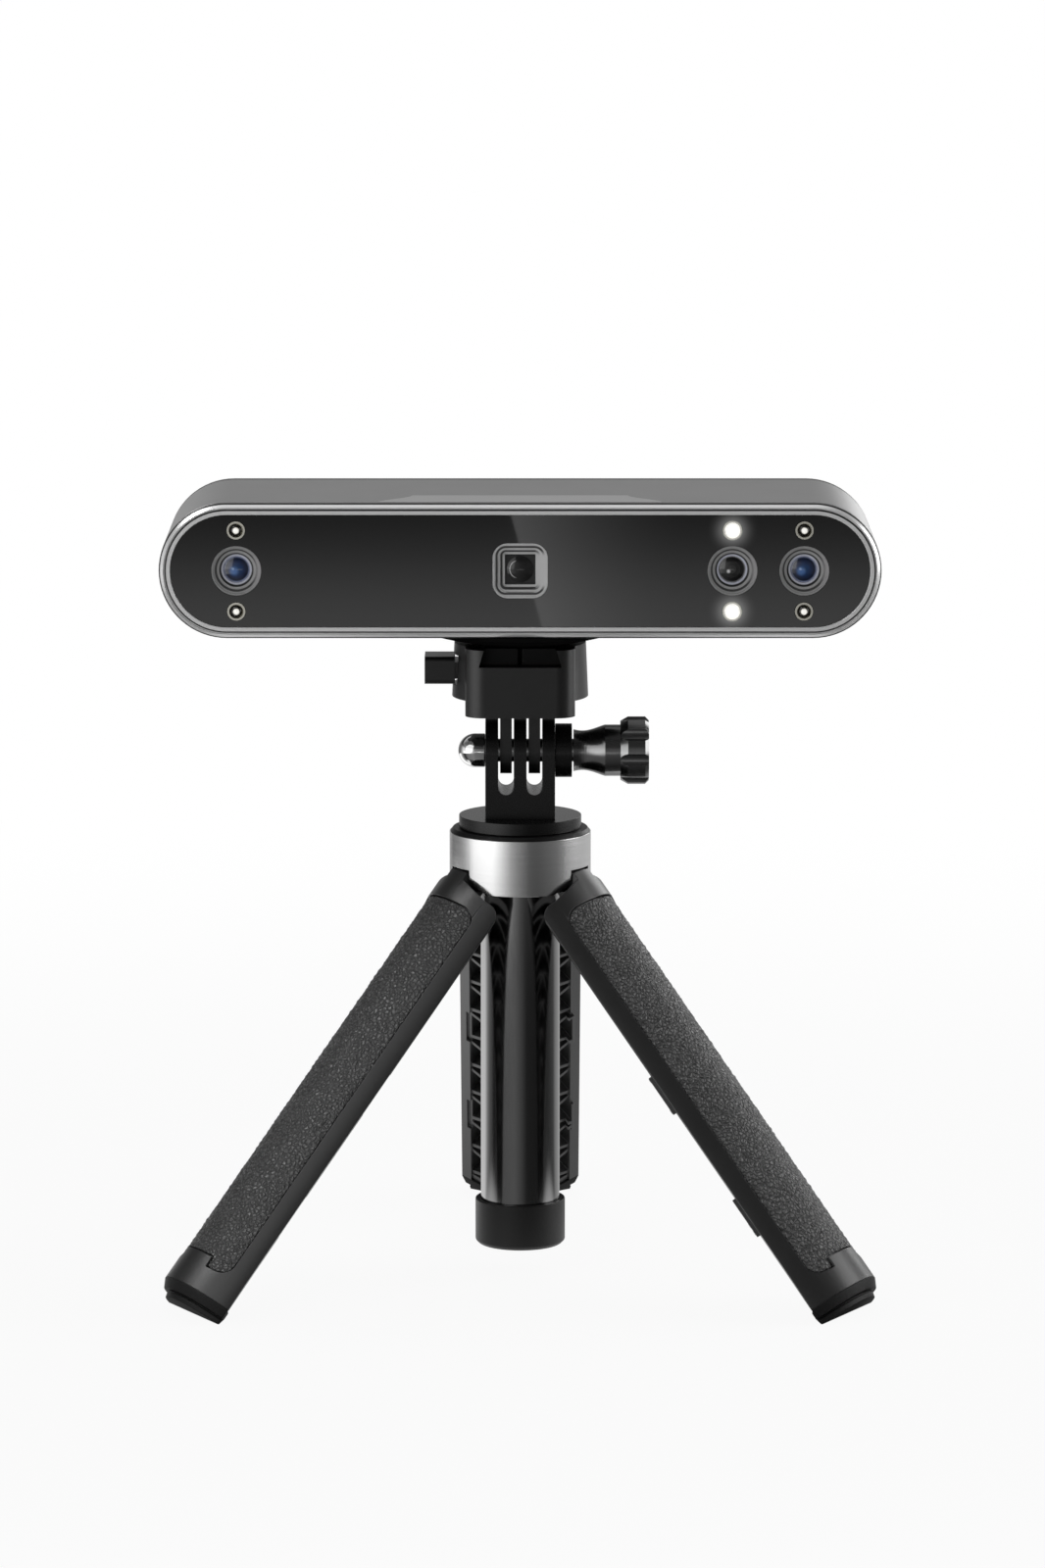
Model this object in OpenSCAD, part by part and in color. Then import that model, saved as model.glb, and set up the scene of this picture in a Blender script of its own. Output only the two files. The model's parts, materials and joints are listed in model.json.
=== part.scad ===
// A three-d scanner bar on a small folding tripod.
// Origin on the floor under the pole axis, +X to the viewer's right, +Y away from the viewer, +Z up.

/* [Scanner head] */
// Width of the head from end to end
head_w = 153; // [140:1:175]
// Height of the head
head_h = 28.8; // [28:0.2:33]
// Depth of the head from front to back
head_d = 45; // [44:0.5:60]
// Wall of the head's sleeve
sleeve_wall = 1.6; // [1.2:0.1:1.9]
// Width of the front bezel, seen from the front
bezel_w = 2.4; // [2.2:0.1:2.8]
// Depth of the front bezel
bezel_d = 2.4; // [2:0.1:3.2]
// Width of the bright chamfer round the bezel
bezel_chamfer = 0.95; // [0.5:0.05:1.2]
// Shadow gap between the bezel and the sleeve
shadow_gap = 0.4; // [0.2:0.05:0.8]
// Thickness of the dark front panel
panel_t = 1.6; // [1.2:0.1:2]
// Set-back of the front panel behind the bezel
panel_recess = 0.6; // [0.3:0.1:0.8]
// Thickness of the rear cover
cover_t = 2.2; // [1.6:0.1:3]
// Width of the top inlay at the front
inlay_front_w = 60; // [40:1:80]
// Width of the top inlay at its back edge
inlay_back_w = 46; // [30:1:60]
// Length of the top inlay from front to back
inlay_len = 12; // [8:0.5:20]
// Depth of the pocket that holds the top inlay
inlay_t = 0.5; // [0.3:0.1:0.8]

/* [Cameras and lights] */
// Distance from the head's end to the nearer depth camera
depth_inset = 16.4; // [15.5:0.1:20]
// Distance from the right depth camera to the colour camera
colour_gap = 15.2; // [13.5:0.1:20]
// Diameter of a lens baffle
baffle_dia = 10.6; // [9:0.1:11.4]
// Diameter of a lens
lens_dia = 5.6; // [4:0.1:6.4]
// Depth of the stepped baffles
baffle_depth = 3; // [2.4:0.1:3.6]
// Side of the projector's square baffle
proj_side = 11.7; // [10:0.1:13]
// Corner radius of the projector's baffle
proj_corner = 3.2; // [2.4:0.1:4]
// Side of the projector's window
proj_window = 6.5; // [6:0.1:7.5]
// Diameter of an infrared light
ir_led_dia = 3; // [2:0.1:3.4]
// Diameter of a white light
white_led_dia = 3.3; // [2:0.1:3.6]
// Width of the bright ring round a light
led_ring_w = 0.42; // [0.3:0.02:0.6]
// Depth of a camera's block
camera_block_d = 5; // [4:0.1:6.5]
// Thickness of the optical bench
bench_t = 2; // [1.6:0.1:3]
// Distance from the front of the head to the bench's front
bench_setback = 13.5; // [12.5:0.1:14.5]

/* [Rear controls] */
// Distance from the back of the head to the main board
board_setback = 9.5; // [8:0.1:11]
// Thickness of the main board
board_t = 1.6; // [1:0.1:2]
// Diameter of the start button
start_dia = 9; // [7:0.2:11]
// Diameter of the plus and minus buttons
small_button_dia = 6.4; // [5:0.2:8]
// Distance between neighbouring buttons
button_pitch = 14; // [12.5:0.5:18]
// Travel of a button
button_travel = 0.6; // [0.3:0.1:0.8]
// Width of the data socket
socket_w = 8.94; // [8.3:0.02:9.5]
// Height of the data socket
socket_h = 3.26; // [3:0.02:3.6]
// Distance of the data socket from the middle
socket_x = 30; // [24:1:40]

/* [Dish and clamp] */
// Diameter of the dish under the head
dish_dia = 45; // [36:0.5:50]
// Height of the dish
dish_h = 3.6; // [3:0.1:5]
// Diameter of the flat under the dish
dish_flat_dia = 20; // [14:0.5:26]
// Radius of the camera screw, a quarter inch thread
screw_r = 3.15; // [2.8:0.05:3.4]
// Height of the clamp's cup
cup_h = 11.7; // [11:0.1:14]
// Diameter of the cup at its bottom
cup_dia = 29.3; // [28.6:0.1:33]
// Diameter of the cup at its top
cup_top_dia = 28.3; // [28:0.1:32]
// Width of the clamp's square block
block_w = 23.5; // [23:0.1:26]
// Height of the pedestal under the cup
pedestal_h = 2.9; // [1.5:0.1:4]
// Width of the plate's channel at its floor
channel_w = 17.7; // [16.5:0.1:19]
// Depth of the plate's channel
channel_h = 3.7; // [3.2:0.1:4.5]
// Height of the push tab
tab_h = 5.9; // [4.5:0.1:6.4]
// Reach of the push tab from the pole axis
tab_reach = 20.5; // [19.5:0.1:24]
// Width of the latch bar from front to back
latch_w = 8.8; // [7:0.1:10]
// Travel of the release latch
latch_travel = 2.2; // [1.6:0.1:2.6]

/* [Tilt joint] */
// Height of the tilt axis above the swivel disc
tilt_rise = 14; // [13:0.1:18]
// Distance from the tilt axis to the pedestal
tilt_to_pedestal = 9.2; // [8.5:0.1:12]
// Width of the lower block of three prongs
prong_block_w = 15; // [14:0.1:17]
// Thickness of a lower prong
prong_t = 2.75; // [2.4:0.05:3.1]
// Thickness of an upper prong
upper_prong_t = 2.5; // [2.2:0.05:2.7]
// Radius of a lower prong's round top
prong_r = 7; // [6:0.1:7.6]
// Radius of an upper prong's round end
upper_prong_r = 5; // [4.5:0.1:5.8]
// Radius of the tilt bolt
bolt_r = 2.5; // [2:0.05:2.8]
// Length of the bush beside the prongs
bush_len = 3.6; // [2.5:0.1:5]
// Diameter of the bush
bush_dia = 11.6; // [10:0.1:13]
// Length of the knob's shank
shank_len = 10.1; // [7:0.1:13]
// Diameter of the shank beside the bush
shank_dia = 9.1; // [8:0.1:10]
// Diameter of the shank beside the head
shank_end_dia = 11.1; // [10:0.1:12]
// Length of the knob's lobed head
knob_len = 6.1; // [4:0.1:8]
// Diameter of the knob's lobed head
knob_dia = 14.6; // [13.5:0.1:17]
// Waist of the knob's shank below its straight flare
waist_dip = 0.6; // [0.2:0.05:0.9]
// Number of lobes on the knob
knob_lobes = 8; // [6:1:12]
// Diameter of the cap nut
nut_dia = 7.3; // [7:0.1:9]
// Length of the cap nut
nut_len = 5.8; // [5:0.1:8]

/* [Pole and collar] */
// Diameter of the swivel disc
disc_dia = 26.4; // [24:0.1:29]
// Thickness of the swivel disc
disc_t = 2.6; // [2:0.1:4]
// Diameter of the collar
collar_dia = 30.5; // [30:0.1:34]
// Wall of the collar
collar_wall = 0.8; // [0.6:0.05:1]
// Height of the collar
collar_h = 12; // [11:0.1:16]
// Height of the black rim above the collar
rim_h = 0.8; // [0.5:0.1:1.5]
// Height of the slanted corner beside a notch
corner_rise = 2.3; // [1.5:0.1:3]
// Width of the slanted corner beside a notch
corner_run = 4.6; // [3:0.1:6]
// Diameter of the outer tube
tube_dia = 17.1; // [16.5:0.1:17.6]
// Wall of every pole tube
tube_wall = 0.75; // [0.6:0.05:0.9]
// Step in radius from one tube to the next
stage_step = 1.6; // [1.4:0.05:1.7]
// Height of the guide bushes and rings
guide_h = 8; // [5:0.5:12]
// Diameter of the rubber end cap
cap_dia = 19.5; // [18.8:0.1:19.8]
// Height of the end cap
cap_h = 10; // [7:0.5:14]
// Height of the end cap above the floor
cap_rise = 6.3; // [3:0.1:10]
// Floor of the end cap
cap_floor = 2; // [1.2:0.1:4]

/* [Legs] */
// Height of the leg pivots above the floor
pivot_z = 87.7; // [75:0.1:100]
// Distance of the leg pivots from the pole axis
pivot_r = 12.5; // [12.3:0.05:12.7]
// Angle of the open legs from the pole
leg_open = 40; // [34:0.5:42]
// Drop from a pivot to the collar's bottom edge
skirt_drop = 2.3; // [2:0.1:2.6]
// Drop from a pivot to a leg's shoulders
shoulder_drop = 3.7; // [3.5:0.1:4.5]
// Inside radius of a leg's shell
leg_inner_r = 10.1; // [10.05:0.05:10.6]
// Half of the angle that a leg's shell spans
leg_half = 55.5; // [54:0.5:59]
// Height by which a leg's outside stands proud of the collar
leg_proud = 1; // [0.8:0.1:1.2]
// Thickness of a leg's skin behind the grip
skin_t = 1.6; // [1.2:0.1:2]
// Wall along a leg's sides and ends
side_wall = 1.8; // [1.4:0.1:2.4]
// Width of a leg's hinge tongue
tongue_w = 6.6; // [6:0.1:7]
// Radius of a leg's hinge pin
pin_r = 0.8; // [0.6:0.05:0.9]
// Reach of a hinge pin past each side of the tongue
pin_reach = 1.7; // [1.2:0.1:1.8]
// Pitch of the crossed ribs in a leg
rib_pitch = 9.7; // [8:0.1:14]
// Thickness of a rib
rib_t = 1; // [0.8:0.1:1.4]
// Half of the angle that a grip spans
grip_half = 40.5; // [36:0.5:46]
// Thickness of a grip
grip_t = 1; // [0.8:0.1:1.2]
// Distance along the leg from its pivot to the grip
grip_start = 7; // [6.5:0.5:10]
// Radius of a leg's shoulders
shoulder_corner = 3; // [2:0.1:4]
// Radius of a grip's corners
grip_corner = 3; // [2:0.1:4]
// Length of the rubber foot along the leg
foot_len = 3.6; // [3.5:0.1:6]
// Height of the foot's corner cut away to stand flat
foot_cut = 1.5; // [1:0.1:2]
// Length of a side tab
side_tab_len = 9.5; // [7:0.5:12]
// Reach of a side tab past the leg's side
side_tab_reach = 0.7; // [0.5:0.1:1.4]
// Distances along the leg from its pivot to the side tabs
side_tab_at = [46.5, 78.2];

/* [Hidden] */
$fn = 64;

// Clearances
fit = 0.05;
run = 0.06;
gap = 0.35;
over = 1;

// Azimuths of the three legs
left_az = 210;
right_az = 330;
rear_az = 90;

// Heights of the tripod
collar_r = collar_dia / 2;
skirt_z = pivot_z - skirt_drop;
collar_top = skirt_z + collar_h;
// A notch ends a gap above the tongue's upper face, which points to the pivot when the leg is open
collar_notch_top = pivot_z + (collar_r - pivot_r) * tan(leg_open) + gap;
rim_top = collar_top + rim_h;
disc_z = rim_top + 0.1;
disc_top = disc_z + disc_t;
tilt_z = disc_top + tilt_rise;
pedestal_z = tilt_z + tilt_to_pedestal;
cup_z = pedestal_z + pedestal_h;
clamp_top = cup_z + cup_h;
dish_z = clamp_top + 0.1;
head_bottom = dish_z + dish_h;
head_z = head_bottom + head_h / 2;

// Radii of the pole's tubes
tube_r = tube_dia / 2;
lower_r = tube_r - stage_step;
upper_r = lower_r - stage_step;
tube_top = rim_top - 0.3;
tube_bottom = cap_rise + cap_floor;
stage_bottom = tube_bottom + 1;

// Legs, measured in the folded place
hub_r = collar_r - collar_wall - fit;
leg_r = collar_r + leg_proud;
knuckle_r = collar_r - pivot_r;
leg_top = pivot_z - shoulder_drop;
foot_chord = leg_inner_r * cos(leg_half);
edge_offset = foot_chord - pivot_r;
leg_len = (pivot_z + edge_offset * sin(leg_open) + foot_cut) / cos(leg_open);
leg_end = pivot_z - leg_len;
foot_top = leg_end + foot_len;
slot_w = tongue_w + 2 * gap;
grip_rise = 5.4;
grip_top = pivot_z - grip_start;
grip_gap = 0.12;
grip_notch_h = 2.4;
grip_notch_half = 20;
grip_bottom = foot_top + grip_rise;
grip_floor_r = leg_r - grip_t;
cavity_r = grip_floor_r - skin_t;
end_wall = side_wall + 1;
brow_t = leg_proud - gap;
brow_rise = 1.9;
brow_run = 6.85;
side_tab_t = 1.6;
tab_bite = 0.6;
tab_r = cavity_r + tab_bite - side_tab_t;
tab_root = 2;
rib_shy = 2.2;

// Layout of the head from front to back
head_r = head_h / 2;
head_straight = head_w - head_h;
front_y = -head_d / 2;
rear_y = head_d / 2;
sleeve_front = front_y + bezel_d + shadow_gap;
sleeve_rear = rear_y - cover_t;
inner_r = head_r - sleeve_wall;
open_r = head_r - bezel_w;
panel_r = open_r - fit;
panel_y = front_y + panel_recess;
panel_back = panel_y + panel_t;
baffle_y = panel_y + 0.2;
baffle_back = baffle_y + baffle_depth;
bench_y = front_y + bench_setback;
bench_back = bench_y + bench_t;
board_y = rear_y - board_setback;
board_back = board_y + board_t;
led_rise = (open_r + baffle_dia / 2) / 2;
depth_x = head_w / 2 - depth_inset;
colour_x = depth_x - colour_gap;
led_board_y = baffle_back + 0.3;
led_board_t = 1;
led_board_w = 12;
led_board_edge = 1.8;
led_post_r = 1.2;
led_seat = 0.9;
ring_proud = 0.15;
baffle_lip = 0.3;
baffle_floor = 0.6;
lens_crown = 0.5;
lens_setback = 0.2;
block_margin = 2.4;
barrel_wall = 1.8;
camera_block_h = 11;
proj_block_w = 13;
proj_block_h = 14;

// Screws, bosses and insert in the head
boss_r = 2;
boss_sink = 0.2;
boss_z = inner_r - boss_r + boss_sink;
boss_floor = 1;
bench_boss_len = 6;
cover_boss_len = 8;
small_screw_r = 0.8;
screw_end_gap = 0.5;
bench_head_r = 1.5;
bench_head_h = 1;
cover_head_r = 1.6;
cover_head_h = 1;
head_sink = 0.1;
bench_screw_x = 30;
cover_screw_x = 50;
bench_edge_gap = 0.5;
insert_wall = 1.35;
insert_r = screw_r + insert_wall;
insert_h = 7;
insert_boss_wall = 1.6;

// Rear controls and boards
button_proud = 0.4;
button_y = rear_y + button_proud;
button_from = 8;
button_x = [button_from, button_from + button_pitch, button_from + 2 * button_pitch];
button_dia = [start_dia, small_button_dia, small_button_dia];
button_gap = 0.15;
flange_w = 0.8;
flange_t = 1;
flange_gap = 0.3;
stem_r = 1.2;
switch_h = 3;
switch_w = 6;
light_x = -button_from;
light_r = 1.2;
board_edge_gap = 4.8;
board_past = 4;
chip_d = 2;
chip_w = 14;
chip_h = 12;
side_chip_w = 10;
side_chip_d = 1.4;
cover_post_r = 1.5;
cover_post_z = 5;
socket_shell = 0.32;
socket_gap = 0.3;
socket_set_back = 0.4;
tongue_t = 0.7;
tongue_gap = 1.15;
tongue_back = 1.2;

// Bezel's groove, lip and ledge
groove_w = 0.4;
lip_t = 0.9;
lip_len = 4;
ledge_t = 1;
ledge_w = 0.7;

// Prongs across the tilt axis
slot_pitch = (prong_block_w - prong_t) / 2;
prong_x = [-slot_pitch, 0, slot_pitch];
upper_x = [-slot_pitch / 2, slot_pitch / 2];
bush_x = prong_block_w / 2 + fit;
shank_x = bush_x + bush_len + gap;
knob_x = shank_x + shank_len;
knob_end = knob_x + knob_len;
nut_x = prong_block_w / 2 + fit;

// Clamp and latch
channel_z = clamp_top - channel_h;
channel_top_w = channel_w - 2.2;
plate_bottom = channel_z + fit;
bar_top = channel_z - 0.3;
bar_h = 3.6;
bar_mid = bar_top - bar_h / 2;
nose_x = channel_w / 2 - 1.4;
nose_w = 1.5;
bar_end = channel_w / 2 + 0.4;
slot_end = bar_end + latch_travel + 0.6;
nose_top = channel_z + 1.7;
tab_w = latch_w + 1;
tab_sink = 0.6;
tab_in = cup_dia / 2 - tab_sink;
pocket_in = tab_in - latch_travel - gap;
plate_setback = 3;
plate_slot_w = 0.8;
plate_slot_len = 3;
spring_r = 1.2;
spring_from = 2;

// Flat stadium outline with round ends
module stadium(w, h) {
    square([w - h, h], center = true);
    for (side = [-1, 1]) translate([side * (w - h) / 2, 0]) circle(d = h);
}

// Flat rectangle with round corners
module round_rect(w, h, r) {
    square([w - 2 * r, h], center = true);
    square([w, h - 2 * r], center = true);
    for (x = [-1, 1], y = [-1, 1])
        translate([x * (w / 2 - r), y * (h / 2 - r)]) circle(r);
}

// Stands a flat outline up in X and Z and runs it from y0 back to y1
module along_y(y0, y1) {
    translate([0, y1, 0]) rotate([90, 0, 0]) linear_extrude(y1 - y0) children();
}

// Cylinder along Y from y0 to y1
module rod_y(r, y0, y1) {
    along_y(y0, y1) circle(r);
}

// Cylinder along X from x0 to x1
module rod_x(r, x0, x1) {
    translate([x0, 0, 0]) rotate([0, 90, 0]) cylinder(r = r, h = x1 - x0);
}

// Upright ring from z0 to z1
module ring(r_out, r_in, z0, z1) {
    translate([0, 0, z0]) difference() {
        cylinder(r = r_out, h = z1 - z0);
        translate([0, 0, -over]) cylinder(r = r_in, h = z1 - z0 + 2 * over);
    }
}

// Turns a profile of radius and depth about a line along Y
module turned_y() {
    rotate([-90, 0, 0]) rotate_extrude() children();
}

// Runs a profile of radius and depth round a stadium in X and Z
module stadium_sweep(straight) {
    for (side = [-1, 1])
        translate([side * straight / 2, 0, 0]) rotate([-90, 0, 0])
            rotate([0, 0, -90 * side]) rotate_extrude(angle = 180) children();
    for (flip = [0, 1])
        mirror([0, 0, flip]) translate([straight / 2, 0, 0])
            rotate([0, -90, 0]) linear_extrude(straight) children();
}

module at_head() {
    translate([0, 0, head_z]) children();
}

// Places of the four bosses at a distance from the middle
module four_bosses(x) {
    for (sx = [-1, 1], sz = [-1, 1]) translate([sx * x, 0, sz * boss_z]) children();
}

// Outline of the top inlay, with sides that swing from the wide front to the narrow back
function swing(t) = (1 - cos(180 * t)) / 2;
function inlay_half(t) = (inlay_front_w + (inlay_back_w - inlay_front_w) * swing(t)) / 2;
inlay_steps = 12;

module inlay_outline(grow) {
    side = [for (i = [0 : inlay_steps]) [inlay_half(i / inlay_steps) + grow, i / inlay_steps * inlay_len]];
    far = [for (i = [inlay_steps : -1 : 0]) [-side[i][0], side[i][1]]];
    back_half = inlay_half(1) + grow;
    polygon(concat(side, far));
    translate([-back_half, inlay_len - over]) square([2 * back_half, over + grow]);
}

module head_sleeve() {
    color("#85878a") at_head() difference() {
        union() {
            difference() {
                along_y(sleeve_front, sleeve_rear) stadium(head_w, head_h);
                along_y(sleeve_front - over, sleeve_rear + over)
                    stadium(head_w - 2 * sleeve_wall, head_h - 2 * sleeve_wall);
            }
            four_bosses(bench_screw_x) rod_y(boss_r, bench_back, bench_back + bench_boss_len);
            four_bosses(cover_screw_x) rod_y(boss_r, sleeve_rear - cover_boss_len, sleeve_rear);
            translate([0, 0, -head_r]) cylinder(r = insert_r + insert_boss_wall, h = insert_h + boss_floor);
        }
        four_bosses(bench_screw_x)
            rod_y(small_screw_r + fit, bench_back - over, bench_back + bench_boss_len - boss_floor);
        four_bosses(cover_screw_x)
            rod_y(small_screw_r + fit, sleeve_rear - cover_boss_len + boss_floor, sleeve_rear + over);
        translate([0, 0, -head_r - over]) cylinder(r = insert_r + fit, h = insert_h + fit + over);
        translate([0, sleeve_front, head_r - inlay_t]) linear_extrude(inlay_t + over) inlay_outline(fit);
    }
}

module top_inlay() {
    color("#a0a2a6") at_head() translate([0, sleeve_front, head_r - inlay_t])
        linear_extrude(inlay_t) inlay_outline(0);
}

module front_bezel() {
    groove_out = head_r - bezel_chamfer;
    groove_in = groove_out - groove_w;
    lip_r = inner_r - fit;
    ledge_y = panel_back + fit;
    color("#c4c6c9") at_head() stadium_sweep(head_straight) polygon([
        [head_r, front_y + bezel_chamfer],
        [head_r, front_y + bezel_d],
        [lip_r, front_y + bezel_d],
        [lip_r, ledge_y + lip_len],
        [lip_r - lip_t, ledge_y + lip_len],
        [lip_r - lip_t, ledge_y + ledge_t],
        [panel_r - ledge_w, ledge_y + ledge_t],
        [panel_r - ledge_w, ledge_y],
        [open_r, ledge_y],
        [open_r, front_y],
        [groove_in, front_y],
        [groove_in, front_y + groove_w],
        [groove_out, front_y + groove_w],
        [groove_out, front_y]]);
}

// Places of the three cameras and, round each, of its two lights
module at_cameras(places) {
    for (x = places) translate([x, 0, 0]) children();
}

module at_leds(places) {
    for (x = places, s = [-1, 1]) translate([x, 0, s * led_rise]) children();
}

module front_panel() {
    color("#1c1e22") at_head() difference() {
        along_y(panel_y, panel_back) stadium(head_straight + 2 * panel_r, 2 * panel_r);
        at_cameras([-depth_x, depth_x, colour_x])
            rod_y(baffle_dia / 2 + fit, panel_y - over, panel_back + over);
        along_y(panel_y - over, panel_back + over)
            round_rect(proj_side + 2 * fit, proj_side + 2 * fit, proj_corner + fit);
        at_leds([-depth_x, depth_x])
            rod_y(ir_led_dia / 2 + led_ring_w + 2 * fit, panel_y - over, panel_back + over);
        at_leds([colour_x])
            rod_y(white_led_dia / 2 + led_ring_w + 2 * fit, panel_y - over, panel_back + over);
    }
}

// Four steps from the baffle's rim down to the lens
module lens_baffles() {
    rim = baffle_dia / 2;
    seat = lens_dia / 2 + fit;
    step_r = (rim - baffle_lip - seat) / 3;
    step_y = (baffle_depth - baffle_floor) / 3;
    color("#2a2c30") at_head() at_cameras([-depth_x, depth_x, colour_x]) turned_y()
        polygon([[rim, baffle_y], [rim, baffle_back], [seat, baffle_back],
                 [seat, baffle_y + 3 * step_y], [seat + step_r, baffle_y + 3 * step_y],
                 [seat + step_r, baffle_y + 2 * step_y], [seat + 2 * step_r, baffle_y + 2 * step_y],
                 [seat + 2 * step_r, baffle_y + step_y], [rim - baffle_lip, baffle_y + step_y],
                 [rim - baffle_lip, baffle_y]]);
}

module projector_baffle() {
    steps = 3;
    step_w = (proj_side - 2 * baffle_lip - proj_window) / steps;
    step_y = (baffle_depth - baffle_floor) / steps;
    color("#2a2c30") at_head() difference() {
        along_y(baffle_y, baffle_back) round_rect(proj_side, proj_side, proj_corner);
        for (i = [0 : steps - 1]) {
            side = proj_side - 2 * baffle_lip - i * step_w;
            along_y(baffle_y - over, baffle_y + (i + 1) * step_y)
                round_rect(side, side, (proj_corner - baffle_lip) * (1 - i / 4));
        }
        along_y(baffle_y, baffle_back + over) square(proj_window, center = true);
    }
}

module camera(x) {
    block_y = bench_y - camera_block_d;
    at_head() translate([x, 0, 0]) {
        along_y(block_y, bench_y) square([lens_dia + 2 * block_margin, camera_block_h], center = true);
        rod_y(lens_dia / 2 + barrel_wall, baffle_back, block_y + fit);
    }
}

module lens(x) {
    lens_r = lens_dia / 2;
    ball_r = (lens_r * lens_r + lens_crown * lens_crown) / (2 * lens_crown);
    lens_front = baffle_back - lens_crown - lens_setback;
    at_head() translate([x, 0, 0]) intersection() {
        translate([0, lens_front + ball_r, 0]) sphere(ball_r, $fn = 128);
        rod_y(lens_r, lens_front - over, baffle_back);
    }
}

module left_depth_camera() { color("#303236") camera(-depth_x); }
module right_depth_camera() { color("#303236") camera(depth_x); }
module colour_camera() { color("#303236") camera(colour_x); }
module left_depth_lens() { color("#2b49a8") lens(-depth_x); }
module right_depth_lens() { color("#2b49a8") lens(depth_x); }
module colour_lens() { color("#20242e") lens(colour_x); }
module projector_lens() { color("#3a3f4c") lens(0); }

module pattern_projector() {
    color("#3a3c40") at_head() along_y(baffle_back, bench_y)
        square([proj_block_w, proj_block_h], center = true);
}

module optical_bench() {
    bench_r = inner_r - bench_edge_gap;
    color("#9a9ca0") at_head() difference() {
        union() {
            along_y(bench_y, bench_back)
                stadium(head_straight + 2 * bench_r, 2 * bench_r);
            at_leds([-depth_x, depth_x, colour_x])
                rod_y(led_post_r, led_board_y + led_board_t, bench_y + fit);
        }
        four_bosses(bench_screw_x) rod_y(small_screw_r + fit, bench_y - over, bench_back + over);
    }
}

module bench_screws() {
    color("silver") at_head() four_bosses(bench_screw_x) {
        rod_y(bench_head_r, bench_y - bench_head_h, bench_y);
        rod_y(small_screw_r, bench_y - fit, bench_back + bench_boss_len - boss_floor - screw_end_gap);
    }
}

module led_boards() {
    color("#1f5a34") at_head() at_cameras([-depth_x, depth_x, colour_x]) difference() {
        along_y(led_board_y, led_board_y + led_board_t)
            square([led_board_w, 2 * (led_rise + led_board_edge)], center = true);
        rod_y(baffle_dia / 2 + button_gap, led_board_y - over, led_board_y + led_board_t + over);
    }
}

module led(r) {
    dome_y = panel_y + led_seat;
    rod_y(r, dome_y, led_board_y);
    translate([0, dome_y, 0]) intersection() {
        sphere(r);
        rod_y(r + over, -r - over, fit);
    }
}

module infrared_leds() {
    color("#3b2a3f") at_head() at_leds([-depth_x, depth_x]) led(ir_led_dia / 2 - fit);
}

module white_leds() {
    color("white") at_head() at_leds([colour_x]) led(white_led_dia / 2 - fit);
}

module led_ring(r_in) {
    difference() {
        rod_y(r_in + led_ring_w, panel_y - ring_proud, panel_back);
        rod_y(r_in, panel_y - over, panel_back + over);
    }
}

module led_rings() {
    color("silver") at_head() {
        at_leds([-depth_x, depth_x]) led_ring(ir_led_dia / 2);
        at_leds([colour_x]) led_ring(white_led_dia / 2);
    }
}

module main_board() {
    board_h = 2 * (inner_r - board_edge_gap);
    color("#1f5a34") at_head() {
        along_y(board_y, board_back) square([2 * (depth_x + board_past), board_h], center = true);
        along_y(board_y - chip_d, board_y + fit) square([chip_w, chip_h], center = true);
        for (s = [-1, 1]) translate([s * depth_x / 2, 0, 0])
            along_y(board_y - side_chip_d, board_y + fit) square(side_chip_w, center = true);
    }
}

module usb_socket() {
    inside_w = socket_w - 2 * socket_shell;
    inside_h = socket_h - 2 * socket_shell;
    color("silver") at_head() translate([-socket_x, 0, 0]) difference() {
        along_y(board_back, rear_y - socket_set_back) stadium(socket_w, socket_h);
        difference() {
            along_y(board_back + over, rear_y + over) stadium(inside_w, inside_h);
            along_y(board_back, rear_y - tongue_back)
                square([socket_w - 2 * tongue_gap, tongue_t], center = true);
        }
    }
}

module status_light() {
    color("#d8f0d8") at_head() translate([light_x, 0, 0]) rod_y(light_r, board_back, rear_y);
}

module button_switches() {
    color("#202020") at_head() for (x = button_x)
        translate([x, 0, 0]) along_y(board_back, board_back + switch_h) square(switch_w, center = true);
}

// Cap through the cover, flange behind it and a stem towards its switch
module push_button(i) {
    r = button_dia[i] / 2;
    flange_y = sleeve_rear - flange_gap;
    stem_y = board_back + switch_h + button_travel + flange_gap;
    at_head() translate([button_x[i], 0, 0]) {
        rod_y(r, flange_y - fit, button_y);
        rod_y(r + flange_w, flange_y - flange_t, flange_y);
        rod_y(stem_r, stem_y, flange_y - flange_t + fit);
    }
}

module start_button() { color("#d0d2d4") push_button(0); }
module plus_button() { color("#d0d2d4") push_button(1); }
module minus_button() { color("#d0d2d4") push_button(2); }

module rear_cover() {
    color("#2b2d30") at_head() difference() {
        union() {
            along_y(sleeve_rear, rear_y) stadium(head_w, head_h);
            for (sx = [-1, 1], sz = [-1, 1]) translate([sx * (depth_x - board_past), 0, sz * cover_post_z])
                rod_y(cover_post_r, board_back, sleeve_rear + fit);
        }
        four_bosses(cover_screw_x) rod_y(small_screw_r + fit, sleeve_rear - over, rear_y + over);
        four_bosses(cover_screw_x)
            rod_y(cover_head_r + fit, rear_y - cover_head_h - head_sink, rear_y + over);
        for (i = [0 : 2]) translate([button_x[i], 0, 0])
            rod_y(button_dia[i] / 2 + button_gap, sleeve_rear - over, rear_y + over);
        translate([light_x, 0, 0]) rod_y(light_r + fit, sleeve_rear - over, rear_y + over);
        translate([-socket_x, 0, 0])
            along_y(sleeve_rear - over, rear_y + over)
                stadium(socket_w + 2 * socket_gap, socket_h + 2 * socket_gap);
    }
}

module rear_cover_screws() {
    color("#707276") at_head() four_bosses(cover_screw_x) {
        rod_y(cover_head_r, rear_y - cover_head_h - head_sink, rear_y - head_sink);
        rod_y(small_screw_r, sleeve_rear - cover_boss_len + boss_floor + 2 * screw_end_gap,
              rear_y - cover_head_h - head_sink + fit);
    }
}

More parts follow.
